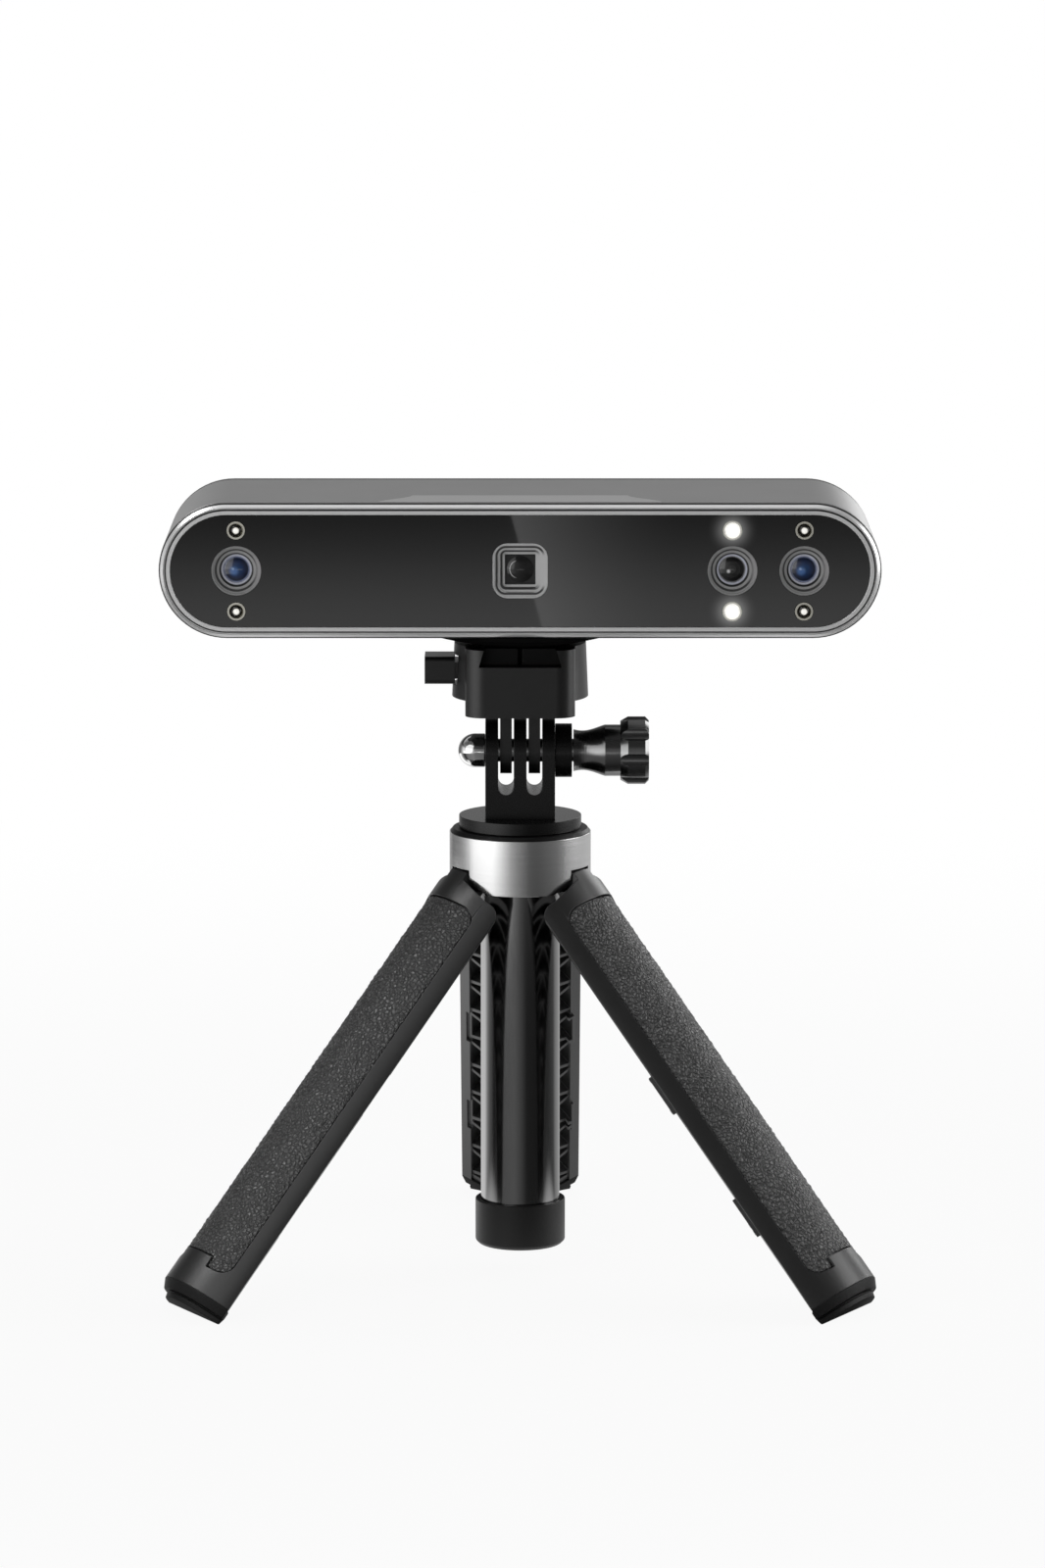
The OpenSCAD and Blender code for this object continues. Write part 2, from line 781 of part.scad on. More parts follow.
module mount_insert() {
    color("#c8a24a") ring(insert_r, screw_r + fit, head_bottom, head_bottom + insert_h);
}

// Shallow dish: a slice of a large ball with a flat in the middle and an upright rim
module base_saucer() {
    dish_r = dish_dia / 2;
    flat_r = dish_flat_dia / 2;
    rim = 0.8;
    drop = dish_h - rim;
    ball_z = (dish_r * dish_r - flat_r * flat_r + drop * drop) / (2 * drop);
    ball_r = sqrt(flat_r * flat_r + ball_z * ball_z);
    color("#26282b") translate([0, 0, dish_z]) difference() {
        intersection() {
            cylinder(r = dish_r, h = dish_h);
            translate([0, 0, ball_z]) sphere(ball_r, $fn = 256);
        }
        translate([0, 0, -over]) cylinder(r = screw_r + 0.2, h = dish_h + 2 * over);
    }
}

module mount_screw() {
    screw_head_h = 1.5;
    color("silver") {
        translate([0, 0, plate_bottom + 0.1]) cylinder(r = screw_r + 1.4, h = screw_head_h);
        translate([0, 0, plate_bottom + screw_head_h])
            cylinder(r = screw_r, h = head_bottom + insert_h - 1.5 - plate_bottom - screw_head_h);
    }
}

// Dovetail outline between two heights, narrower at the top
module dovetail(w, w_top, z0, z1) {
    polygon([[-w / 2, z0], [w / 2, z0], [w_top / 2, z1], [-w_top / 2, z1]]);
}

module release_plate() {
    front = plate_setback - cup_dia / 2;
    nose_cut_h = nose_top - plate_bottom + over + 0.3;
    color("#3a3c40") difference() {
        along_y(front, -front)
            dovetail(channel_w - 2 * fit, channel_top_w - 2 * fit, plate_bottom, dish_z);
        translate([0, 0, plate_bottom - over]) cylinder(r = screw_r + 0.2, h = channel_h + 2 * over);
        translate([0, 0, plate_bottom - over]) cylinder(r = screw_r + 1.6, h = over + 1.7);
        translate([nose_x - 0.4, -3, plate_bottom - over]) cube([channel_w, 6, nose_cut_h]);
        translate([-plate_slot_w / 2, front - over, plate_bottom - over])
            cube([plate_slot_w, plate_slot_len + over, channel_h + 2 * over]);
    }
}

module clamp_body() {
    block_d = cup_dia + 0.2;
    block_corner = 4;
    color("#222427") difference() {
        union() {
            translate([0, 0, cup_z]) cylinder(d1 = cup_dia, d2 = cup_top_dia, h = cup_h);
            translate([0, 0, pedestal_z]) linear_extrude(clamp_top - pedestal_z)
                round_rect(block_w, block_d, block_corner);
            for (x = upper_x) translate([x - upper_prong_t / 2, 0, tilt_z]) {
                rod_x(upper_prong_r, 0, upper_prong_t);
                translate([0, -upper_prong_r, 0])
                    cube([upper_prong_t, 2 * upper_prong_r, tilt_to_pedestal + 1]);
            }
        }
        along_y(-cup_dia, cup_dia) dovetail(channel_w, channel_top_w, channel_z, clamp_top);
        translate([-cup_dia, -latch_w / 2 - gap, bar_top - bar_h - gap])
            cube([cup_dia + slot_end, latch_w + 2 * gap, bar_h + gap + 0.3]);
        translate([-cup_dia, -tab_w / 2 - gap, bar_mid - tab_h / 2 - gap])
            cube([cup_dia - pocket_in, tab_w + 2 * gap, tab_h + 2 * gap]);
        translate([0, -2.5 - gap, bar_top])
            cube([slot_end, 5 + 2 * gap, nose_top - bar_top + gap]);
        translate([0, 0, tilt_z]) rod_x(bolt_r + run, -prong_block_w, prong_block_w);
    }
}

module release_latch() {
    tab_corner = 1;
    color("#2e3034") difference() {
        union() {
            translate([-tab_reach + 1, -latch_w / 2, bar_top - bar_h])
                cube([tab_reach - 1 + bar_end, latch_w, bar_h]);
            translate([-tab_reach, 0, bar_mid]) rotate([0, 90, 0])
                linear_extrude(tab_reach - tab_in) round_rect(tab_h, tab_w, tab_corner);
            translate([nose_x, -2.5, bar_top - fit]) cube([nose_w, 5, nose_top - bar_top + fit]);
        }
        translate([0, 0, bar_mid]) rod_x(spring_r + gap, spring_from, bar_end + over);
    }
}

module release_spring() {
    color("silver") translate([0, 0, bar_mid]) difference() {
        rod_x(spring_r, spring_from + fit, slot_end);
        rod_x(spring_r - 0.4, spring_from - over, slot_end + over);
    }
}

module tilt_base() {
    color("#1f2124") difference() {
        union() {
            translate([0, 0, disc_z]) cylinder(d = disc_dia, h = disc_t);
            translate([0, 0, disc_z - guide_h]) cylinder(r = upper_r - tube_wall - run, h = guide_h + over);
            translate([-prong_block_w / 2, -prong_r, disc_top - fit])
                cube([prong_block_w, 2 * prong_r, tilt_rise + fit]);
            translate([0, 0, tilt_z]) rod_x(prong_r, -prong_block_w / 2, prong_block_w / 2);
        }
        for (x = upper_x) {
            slot = slot_pitch - prong_t;
            floor_z = tilt_z - prong_r;
            translate([x - slot / 2, -prong_r - over, floor_z])
                cube([slot, 2 * (prong_r + over), tilt_rise + prong_r]);
            translate([x, 0, floor_z]) rod_y(slot / 2, -prong_r - over, prong_r + over);
        }
        translate([0, 0, tilt_z]) rod_x(bolt_r + run, -prong_block_w, prong_block_w);
    }
}

module tilt_bolt() {
    color("silver") translate([0, 0, tilt_z]) rod_x(bolt_r, -nut_x - nut_len + 2, knob_x + 2);
}

// Radius of the knob's shank along its flare, with a waist
function shank_radius(t) = (shank_dia + (shank_end_dia - shank_dia) * swing(t)) / 2
    - waist_dip * sin(180 * t);

module thumb_knob() {
    scallop_r = 1.6;
    scallop_out = 0.7;
    turn = 8.6;
    flare = shank_len * 0.67;
    steps = 12;
    knob_r = knob_dia / 2;
    near_bevel = 0.9;
    near_bevel_len = 1.6;
    far_bevel = 0.8;
    waist = [for (i = [0 : steps]) [shank_radius(i / steps), shank_x + flare * i / steps]];
    color("#16171a") translate([0, 0, tilt_z]) difference() {
        rotate([0, 90, 0]) rotate_extrude() polygon(concat(
            [[0, shank_x]], waist,
            [[shank_end_dia / 2, knob_x], [knob_r - near_bevel, knob_x],
             [knob_r, knob_x + near_bevel_len], [knob_r, knob_end - far_bevel],
             [knob_r - far_bevel, knob_end], [0, knob_end]]));
        for (i = [0 : knob_lobes - 1]) rotate([turn + i * 360 / knob_lobes, 0, 0])
            translate([0, knob_r + scallop_out, 0]) rod_x(scallop_r, knob_x, knob_end + over);
        rod_x(bolt_r + fit, 0, knob_x + 2 + fit);
    }
}

module knob_bush() {
    color("#1b1c1f") translate([0, 0, tilt_z]) difference() {
        rod_x(bush_dia / 2, bush_x, bush_x + bush_len);
        rod_x(bolt_r + run, 0, bush_x + bush_len + over);
    }
}

// Domed nut with a blind hole
module cap_nut() {
    nut_r = nut_dia / 2;
    collar_len = nut_len - nut_r;
    color("#d8dadc") translate([0, 0, tilt_z]) mirror([1, 0, 0]) difference() {
        union() {
            rod_x(nut_r, nut_x, nut_x + collar_len);
            intersection() {
                translate([nut_x + collar_len, 0, 0]) sphere(nut_r);
                rod_x(nut_r + over, nut_x + collar_len - fit, nut_x + nut_len + over);
            }
        }
        rod_x(bolt_r + run, 0, nut_x + nut_len - 1.7);
    }
}

module outer_tube() { color("#1d1e21") ring(tube_r, tube_r - tube_wall, tube_bottom, tube_top); }
module lower_stage_tube() { color("#2c2d31") ring(lower_r, lower_r - tube_wall, stage_bottom, tube_top); }

module upper_stage_tube() {
    color("#2c2d31") ring(upper_r, upper_r - tube_wall, stage_bottom, rim_top);
}

module outer_tube_bush() {
    color("#101113") ring(tube_r - tube_wall - fit, lower_r + run, tube_top - guide_h, tube_top);
}

// Ring outside the lower stage's foot and bush inside its top
module lower_stage_rings() {
    color("#101113") {
        ring(tube_r - tube_wall - run, lower_r + fit, stage_bottom, stage_bottom + guide_h);
        ring(lower_r - tube_wall - fit, upper_r + run, tube_top - guide_h, tube_top);
    }
}

module upper_stage_slider() {
    color("#101113") ring(lower_r - tube_wall - run, upper_r + fit, stage_bottom, stage_bottom + guide_h);
}

module pole_foot_cap() {
    bevel = 0.8;
    color("#1c1d1f") translate([0, 0, cap_rise]) difference() {
        union() {
            cylinder(r1 = cap_dia / 2 - bevel, r2 = cap_dia / 2, h = bevel);
            translate([0, 0, bevel]) cylinder(d = cap_dia, h = cap_h - bevel);
        }
        translate([0, 0, cap_floor]) cylinder(r = tube_r + fit, h = cap_h);
    }
}

// Three places round the pole, with +X pointing out along each leg
module each_leg() {
    for (az = [left_az, right_az, rear_az]) rotate([0, 0, az]) children();
}

module leg_hub() {
    slot_top = pivot_z + knuckle_r + gap;
    slot_r = pivot_r - knuckle_r - gap;
    hub_bottom = skirt_z + 0.4;
    color("#191a1c") difference() {
        union() {
            translate([0, 0, hub_bottom]) cylinder(r = hub_r, h = collar_top - hub_bottom + fit);
            translate([0, 0, collar_top]) cylinder(r1 = collar_r - 0.15, r2 = collar_r - 0.75, h = rim_h);
        }
        translate([0, 0, hub_bottom - over]) cylinder(r = tube_r + fit, h = collar_h + rim_h + 2 * over);
        each_leg() {
            translate([slot_r, -slot_w / 2, hub_bottom - over])
                cube([collar_r, slot_w, slot_top - hub_bottom + over]);
            translate([pivot_r, 0, pivot_z]) rotate([90, 0, 0])
                cylinder(r = pin_r + 0.02, h = slot_w + 2 * pin_reach, center = true);
        }
    }
}

module collar() {
    half = slot_w / 2;
    foot = half + corner_run;
    color("#b9bbbe") difference() {
        ring(collar_r, collar_r - collar_wall, skirt_z, collar_top);
        each_leg() translate([tube_r, 0, 0]) rotate([90, 0, 90]) linear_extrude(collar_r)
            polygon([[foot, skirt_z - over], [foot, skirt_z], [half, skirt_z + corner_rise],
                     [half, collar_notch_top], [-half, collar_notch_top],
                     [-half, skirt_z + corner_rise], [-foot, skirt_z], [-foot, skirt_z - over]]);
    }
}

module leg_pins() {
    color("silver") each_leg() translate([pivot_r, 0, pivot_z]) rotate([90, 0, 0])
        cylinder(r = pin_r, h = tongue_w + 2 * pin_reach, center = true);
}

// Sector of a ring about +X between two heights
module sector(r_in, r_out, half, z0, z1) {
    reach = 2 * r_out;
    intersection() {
        ring(r_out, r_in, z0, z1);
        translate([0, 0, z0 - over]) linear_extrude(z1 - z0 + 2 * over)
            polygon([[0, 0], [reach, -reach * tan(half)], [reach, reach * tan(half)]]);
    }
}

// Swings a leg modelled folded along +X out to its open place
module leg_place(az) {
    rotate([0, 0, az]) translate([pivot_r, 0, pivot_z]) rotate([0, -leg_open, 0])
        translate([-pivot_r, 0, -pivot_z]) children();
}

// Pushes an outline of width and height out along +X, from well inside a leg to well outside it
module outward() {
    from = leg_inner_r / 4;
    translate([from, 0, 0]) rotate([90, 0, 90]) linear_extrude(2 * leg_r) children();
}

// Outline of a grip with the notch at its foot
module grip_outline(grow) {
    half_w = leg_r * sin(grip_half) + grow;
    notch_w = 2 * leg_r * sin(grip_notch_half);
    notch_top = grip_bottom + grip_notch_h;
    difference() {
        translate([0, (grip_top + grip_bottom) / 2])
            round_rect(2 * half_w, grip_top - grip_bottom + 2 * grow, grip_corner + grow);
        translate([-notch_w / 2 + grow, grip_bottom - over])
            square([notch_w - 2 * grow, notch_top - grip_bottom + over - grow]);
    }
}

// Outlines of the pockets that crossed ribs leave between two heights: a diamond between each two
// crossings, half of one at each end, and a triangle on each side of a crossing
module rib_pockets(z0, z1) {
    count = floor((z1 - z0) / rib_pitch);
    half_cell = (z1 - z0) / count / 2;
    half_w = leg_r * sin(leg_half);
    lean = atan2(half_cell, half_w);
    rise = half_cell - rib_t / 2 / cos(lean);
    tip = rib_t / 2 / sin(lean);
    for (i = [0 : count - 1], s = [-1, 1]) translate([0, z0 + (2 * i + 1) * half_cell])
        polygon([[s * half_w, -rise], [s * half_w, rise], [s * tip, 0]]);
    for (i = [0 : count]) translate([0, z0 + 2 * i * half_cell])
        polygon(concat([[half_w - tip, 0]], i < count ? [[0, rise]] : [],
                       [[tip - half_w, 0]], i > 0 ? [[0, -rise]] : []));
}

module leg_hollow() {
    z0 = foot_top + side_wall;
    z1 = leg_top - end_wall;
    intersection() {
        translate([0, 0, z0 - over]) cylinder(r = cavity_r, h = z1 - z0 + 2 * over);
        outward() rib_pockets(z0, z1);
    }
}

// Round corner that is cut from a leg's shoulder on one side
module shoulder_cut(side) {
    corner_z = leg_top - shoulder_corner;
    rotate([0, 0, side * leg_half]) difference() {
        translate([0, side > 0 ? -shoulder_corner : -over, corner_z])
            cube([2 * leg_r, shoulder_corner + over, shoulder_corner + over]);
        translate([0, -side * shoulder_corner, corner_z])
            rod_x(shoulder_corner, -over, 2 * leg_r + over);
    }
}

// Thin edge that rises from the shoulders to the tongue and laps the collar when the leg is open
module leg_brow() {
    half = slot_w / 2;
    foot = half + brow_run;
    low = leg_top - side_wall;
    difference() {
        intersection() {
            translate([0, 0, low]) cylinder(r = leg_r, h = side_wall + brow_rise);
            outward() polygon([[-foot, low], [foot, low], [foot, leg_top], [half, leg_top + brow_rise],
                               [-half, leg_top + brow_rise], [-foot, leg_top]]);
        }
        translate([0, 0, low - over]) cylinder(r = leg_r - brow_t, h = side_wall + brow_rise + 2 * over);
    }
}

// Leg's shell in its folded place: a skin, a core that ends a little short of its sides, round
// shoulders and the recess for the grip
module leg_shell() {
    difference() {
        union() {
            sector(cavity_r, leg_r, leg_half, foot_top, leg_top);
            sector(leg_inner_r, cavity_r + fit, leg_half - rib_shy, foot_top, leg_top);
        }
        for (side = [-1, 1]) shoulder_cut(side);
        difference() {
            outward() grip_outline(grip_gap);
            translate([0, 0, foot_top]) cylinder(r = grip_floor_r, h = leg_top - foot_top);
        }
    }
    leg_brow();
}

// Tongue that carries the hinge pin, flush with the leg's outside
module leg_tongue() {
    low = leg_top - side_wall;
    translate([pivot_r, 0, pivot_z]) rotate([90, 0, 0])
        cylinder(r = knuckle_r, h = tongue_w, center = true);
    intersection() {
        translate([pivot_r - knuckle_r, -tongue_w / 2, low])
            cube([knuckle_r + leg_r - pivot_r, tongue_w, shoulder_drop + side_wall]);
        translate([0, 0, low]) cylinder(r = leg_r, h = shoulder_drop + side_wall);
    }
}

// Side tabs on one side, and the notches on the other side that the next leg's tabs enter
module leg(az) {
    leg_place(az) difference() {
        union() {
            leg_shell();
            leg_tongue();
            for (at = side_tab_at) rotate([0, 0, -leg_half])
                translate([tab_r, -side_tab_reach, pivot_z - at - side_tab_len])
                    cube([side_tab_t, side_tab_reach + tab_root, side_tab_len]);
        }
        leg_hollow();
        translate([pivot_r, 0, pivot_z]) rotate([90, 0, 0])
            cylinder(r = pin_r + run, h = tongue_w + over, center = true);
        for (at = side_tab_at) rotate([0, 0, leg_half])
            translate([0, -side_tab_reach, pivot_z - at - side_tab_len - gap])
                cube([tab_r + side_tab_t + gap, side_tab_reach + over, side_tab_len + 2 * gap]);
    }
}

module left_leg() { color("#3c3d40") leg(left_az); }
module right_leg() { color("#3c3d40") leg(right_az); }
module rear_leg() { color("#3c3d40") leg(rear_az); }

module grip(az) {
    leg_place(az) intersection() {
        sector(grip_floor_r + fit, leg_r - fit, leg_half, grip_bottom - over, grip_top + over);
        outward() grip_outline(0);
    }
}

module left_grip() { color("#58595c") grip(left_az); }
module right_grip() { color("#58595c") grip(right_az); }
module rear_grip() { color("#58595c") grip(rear_az); }

// Rubber foot with a groove above its pad, that closes the leg's end, cut flat where it stands
module foot(az) {
    reach = 2 * leg_r;
    bevel = 1;
    bevel_h = 1.9;
    groove_h = 0.4;
    groove_r = leg_r - 2.6;
    pad_r = leg_r - 2.1;
    pad_draft = 0.3;
    bevel_top = foot_top - 0.2;
    groove_top = bevel_top - bevel_h;
    pad_top = groove_top - groove_h;
    difference() {
        leg_place(az) intersection() {
            rotate_extrude() polygon([[0, foot_top], [leg_r, foot_top], [leg_r, bevel_top],
                                      [leg_r - bevel, groove_top], [groove_r, groove_top],
                                      [groove_r, pad_top], [pad_r, pad_top],
                                      [pad_r - pad_draft, leg_end], [0, leg_end]]);
            translate([0, 0, leg_end - over]) linear_extrude(foot_len + 2 * over)
                polygon([[foot_chord, -foot_chord * tan(leg_half)], [reach, -reach * tan(leg_half)],
                         [reach, reach * tan(leg_half)], [foot_chord, foot_chord * tan(leg_half)]]);
        }
        translate([0, 0, -leg_len]) cylinder(r = 2 * leg_len, h = leg_len);
    }
}

module left_foot() { color("#1c1d1f") foot(left_az); }
module right_foot() { color("#1c1d1f") foot(right_az); }
module rear_foot() { color("#1c1d1f") foot(rear_az); }

head_sleeve();
front_bezel();
front_panel();
rear_cover();
optical_bench();
left_depth_camera();
left_depth_lens();
right_depth_camera();
right_depth_lens();
colour_camera();
colour_lens();
pattern_projector();
projector_lens();
lens_baffles();
projector_baffle();
infrared_leds();
white_leds();
led_rings();
led_boards();
main_board();
usb_socket();
status_light();
start_button();
plus_button();
minus_button();
button_switches();
rear_cover_screws();
bench_screws();
mount_insert();
top_inlay();
base_saucer();
mount_screw();
release_plate();
clamp_body();
release_latch();
release_spring();
tilt_base();
tilt_bolt();
thumb_knob();
knob_bush();
cap_nut();
upper_stage_tube();
lower_stage_tube();
outer_tube();
outer_tube_bush();
lower_stage_rings();
upper_stage_slider();
pole_foot_cap();
leg_hub();
collar();
leg_pins();
left_leg();
right_leg();
rear_leg();
left_grip();
right_grip();
rear_grip();
left_foot();
right_foot();
rear_foot();
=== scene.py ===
# %% [markdown]
# This lesson dresses a three-d scanner bar that stands on a small folding tripod. The solids come from
# a CAD model and stay where they are. Blender adds what the solids lack: finishes for every piece,
# softened edges, the leather grain of the grips, the optics, the latch's coil and the marks on the buttons.
# The first cell loads the frame, which is in metres, with the floor at zero height and the viewer at -Y.

# %% Load the frame
import json
import math
import bpy
from mathutils import Matrix, Vector


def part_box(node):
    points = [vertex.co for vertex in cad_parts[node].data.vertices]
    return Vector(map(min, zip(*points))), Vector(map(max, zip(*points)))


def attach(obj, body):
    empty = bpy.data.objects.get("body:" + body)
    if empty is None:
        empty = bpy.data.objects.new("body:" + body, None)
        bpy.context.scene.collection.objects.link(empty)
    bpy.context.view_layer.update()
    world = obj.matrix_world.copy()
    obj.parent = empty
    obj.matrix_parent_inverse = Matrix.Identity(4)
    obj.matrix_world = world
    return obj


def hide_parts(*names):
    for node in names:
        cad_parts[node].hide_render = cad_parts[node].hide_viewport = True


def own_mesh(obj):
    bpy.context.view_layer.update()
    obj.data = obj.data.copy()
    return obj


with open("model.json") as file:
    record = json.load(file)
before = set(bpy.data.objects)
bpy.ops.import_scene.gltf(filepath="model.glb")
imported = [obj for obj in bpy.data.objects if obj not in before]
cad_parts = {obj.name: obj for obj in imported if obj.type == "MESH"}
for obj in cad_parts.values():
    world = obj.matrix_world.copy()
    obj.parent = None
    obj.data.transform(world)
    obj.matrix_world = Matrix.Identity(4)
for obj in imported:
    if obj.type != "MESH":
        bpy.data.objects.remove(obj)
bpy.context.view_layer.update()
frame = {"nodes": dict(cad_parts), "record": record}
nodes = frame["nodes"]
MM = 0.001
PER_METRE = 1000

# %% [markdown]
# The photograph was taken from a little above, with a long lens. The lens is worked out from the
# picture: its frame is 1066 by 1600 pixels, and the object's perspective is weak. The sensor's 36 mm lie
# along the long side, so the picture's height sets the scale.

# %% Camera
PHOTO_HEIGHT = 1600
FOCAL_PIXELS = 7100
SENSOR = 36
VIEW_DOWN = math.radians(9.4)
AIM = Vector((0.5, 0, 107.5)) * MM
CAMERA_DISTANCE = 1.502

camera_data = bpy.data.cameras.new("photo_camera")
camera_data.sensor_width = SENSOR
camera_data.lens = FOCAL_PIXELS / PHOTO_HEIGHT * SENSOR
camera = bpy.data.objects.new("photo_camera", camera_data)
bpy.context.scene.collection.objects.link(camera)
looking = Vector((0, math.cos(VIEW_DOWN), -math.sin(VIEW_DOWN)))
camera.location = AIM - looking * CAMERA_DISTANCE
camera.rotation_euler = looking.to_track_quat("-Z", "Y").to_euler()
bpy.context.scene.camera = camera
print("camera at", [round(v, 3) for v in camera.location], "lens", round(camera_data.lens, 1))

# %% [markdown]
# Shader maths reads best as plain arithmetic. The class below wraps one socket of a node tree, so that
# `1 - mask` or `wave * 0.2` adds the Math nodes by itself. Every other node comes from its `node` method,
# which sets the node's own settings first and then the values or links of its sockets.

# %% Socket class
class Wire:
    """One socket of a node tree. Arithmetic on wires adds Math nodes to the tree."""

    def __init__(self, tree, socket=None):
        self.tree = tree
        self.socket = socket

    def feed(self, target, value):
        """Links a wire to a socket, or sets the socket to a plain value."""
        if isinstance(value, Wire):
            self.tree.links.new(value.socket, target)
        else:
            target.default_value = value

    def node(self, kind, inputs=None, output=0, stops=None, **settings):
        """Adds a node with its settings, ramp stops and inputs, and gives one of its outputs."""
        made = self.tree.nodes.new(kind)
        for name, value in settings.items():
            setattr(made, name, value)
        if stops:
            elements = made.color_ramp.elements
            while len(elements) < len(stops):
                elements.new(1)
            for element, (place, colour) in zip(elements, stops):
                element.position = place
                element.color = colour
        for name, value in (inputs or {}).items():
            self.feed(made.inputs[name], value)
        return Wire(self.tree, made.outputs[output])

    def math(self, operation, *values):
        return self.node("ShaderNodeMath", dict(enumerate(values)), operation=operation)

    def __add__(self, other):
        return self.math("ADD", self, other)

    def __sub__(self, other):
        return self.math("SUBTRACT", self, other)

    def __rsub__(self, other):
        return self.math("SUBTRACT", other, self)

    def __mul__(self, other):
        return self.math("MULTIPLY", self, other)

    def __truediv__(self, other):
        return self.math("DIVIDE", self, other)

    def __abs__(self):
        return self.math("ABSOLUTE", self)

    __radd__ = __add__
    __rmul__ = __mul__

    def rise(self, low, high):
        """0 below low, 1 above high and a smooth slope between. The two may also be the other way round."""
        return self.node("ShaderNodeMapRange", {"Value": self, 1: low, 2: high},
                         interpolation_type="SMOOTHSTEP")

    def root_sum(self, other):
        """Length of the two sides of a right angle."""
        return self.math("SQRT", self * self + other * other)


print("socket class ready")

# %% [markdown]
# A finish is a material with one Principled shader. What is the same all over is set on the shader's own
# sockets. What varies is wired: speckle, brush lines and grain read Object coordinates, so a pattern
# keeps its real size on every piece.

# %% Finish helpers
def grey(value):
    return (value, value, value, 1)


class Finish:
    """A material whose varying inputs are wired from Object coordinates."""

    def __init__(self, name, colour, roughness, metallic=0, **constants):
        self.material = bpy.data.materials.new(name)
        self.material.use_nodes = True
        tree = self.material.node_tree
        self.shader = tree.nodes["Principled BSDF"]
        self.wire = Wire(tree)
        self.set("Base Color", colour)
        self.set("Roughness", roughness)
        self.set("Metallic", metallic)
        for socket, value in constants.items():
            self.set(socket.replace("_", " "), value)
        self.place = self.wire.node("ShaderNodeTexCoord", output="Object")

    def set(self, socket, value):
        self.wire.feed(self.shader.inputs[socket], value)

    def axes(self):
        """Object coordinates in millimetres, one wire for each axis."""
        parts = [self.wire.node("ShaderNodeSeparateXYZ", {0: self.place}, output=i) for i in range(3)]
        return [part * PER_METRE for part in parts]

    def stretched(self, along):
        """Object coordinates times a factor on each axis."""
        return self.wire.node("ShaderNodeMapping", {"Vector": self.place, "Scale": along})

    def noise(self, scale, detail=2, place=None):
        return self.wire.node("ShaderNodeTexNoise",
                              {"Vector": place or self.place, "Scale": scale, "Detail": detail})

    def blend(self, amount, first, second):
        """A colour between two, by an amount from 0 to 1."""
        return self.wire.node("ShaderNodeMix", {"Factor": amount, 6: first, 7: second},
                              output=2, data_type="RGBA")

    def bump(self, height, distance, strength=1):
        self.set("Normal", self.wire.node(
            "ShaderNodeBump", {"Height": height, "Distance": distance, "Strength": strength}))

    def ramp(self, value, stops):
        return self.wire.node("ShaderNodeValToRGB", {"Fac": value}, stops=stops)


def dress(finish, *names):
    """Gives CAD nodes a finish."""
    for name in names:
        slots = nodes[name].data.materials
        slots.clear()
        slots.append(finish.material)


print("finish helpers ready")

# %% [markdown]
# No moulded or machined edge is perfectly sharp: a narrow round catches the light and draws the form.
# Bevels could go into the CAD model, but that makes every solid heavy. Here they are live modifiers on
# the CAD meshes, which stay as they are: Weld closes the loose triangles, Decimate joins the flat ones,
# Bevel rounds what is sharper than an angle, and Weighted Normal keeps the flats flat.

# %% Softened edges
WELD_GAP = 0.002
FLAT_ANGLE = 0.4
SHARP_ANGLE = 38
EDGE_STEPS = 2
FACE_WEIGHT = 80


def soften(width, *names):
    """Rounds the sharp edges of CAD nodes by a width in millimetres."""
    for name in names:
        modifiers = nodes[name].modifiers
        weld = modifiers.new("weld", "WELD")
        weld.merge_threshold = WELD_GAP * MM
        flats = modifiers.new("flats", "DECIMATE")
        flats.decimate_type = "DISSOLVE"
        flats.angle_limit = math.radians(FLAT_ANGLE)
        bevel = modifiers.new("soft_edge", "BEVEL")
        bevel.width = width * MM
        bevel.segments = EDGE_STEPS
        bevel.limit_method = "ANGLE"
        bevel.angle_limit = math.radians(SHARP_ANGLE)
        bevel.use_clamp_overlap = False
        normals = modifiers.new("normals", "WEIGHTED_NORMAL")
        normals.weight = FACE_WEIGHT


soften(0.1, "head_sleeve", "front_bezel", "usb_socket")
soften(0.1, "collar", "leg_hub", "knob_bush", "tilt_base")
soften(0.2, "release_plate", "rear_cover")
soften(0.25, "start_button", "plus_button", "minus_button", "pole_foot_cap", "cap_nut")
soften(0.12, "left_leg", "right_leg", "rear_leg", "left_foot", "right_foot", "rear_foot")
print("edges softened on", sum(1 for node in nodes.values() if node.modifiers), "nodes")

# %% [markdown]
# The sleeve of the head is an anodised aluminium extrusion, drawn lengthwise, so its faint lines run along
# X. The inlay on top is paler and the collar is brushed round. All are metal with a little noise, stretched
# along the direction of the work, in colour, gloss and height.

# %% Metals
CLOUD_SCALE = 60
LINE_HEIGHT = 0.01


def metal(name, colour, roughness, along=(1, 1, 1), scale=4000, lines_depth=0.1, dim=0.86):
    """Bare or anodised metal with fine lines, longer on the axes with small factors."""
    finish = Finish(name, colour, roughness, 1)
    lines = finish.noise(scale, 2, finish.stretched(along))
    cloud = finish.noise(CLOUD_SCALE, 2)
    low = tuple(channel * dim for channel in colour[:3]) + (1,)
    finish.set("Base Color", finish.blend(0.7 * lines + 0.3 * cloud, low, colour))
    finish.set("Roughness", roughness - 0.05 + 0.1 * lines)
    finish.bump(lines, LINE_HEIGHT * MM, lines_depth)
    return finish


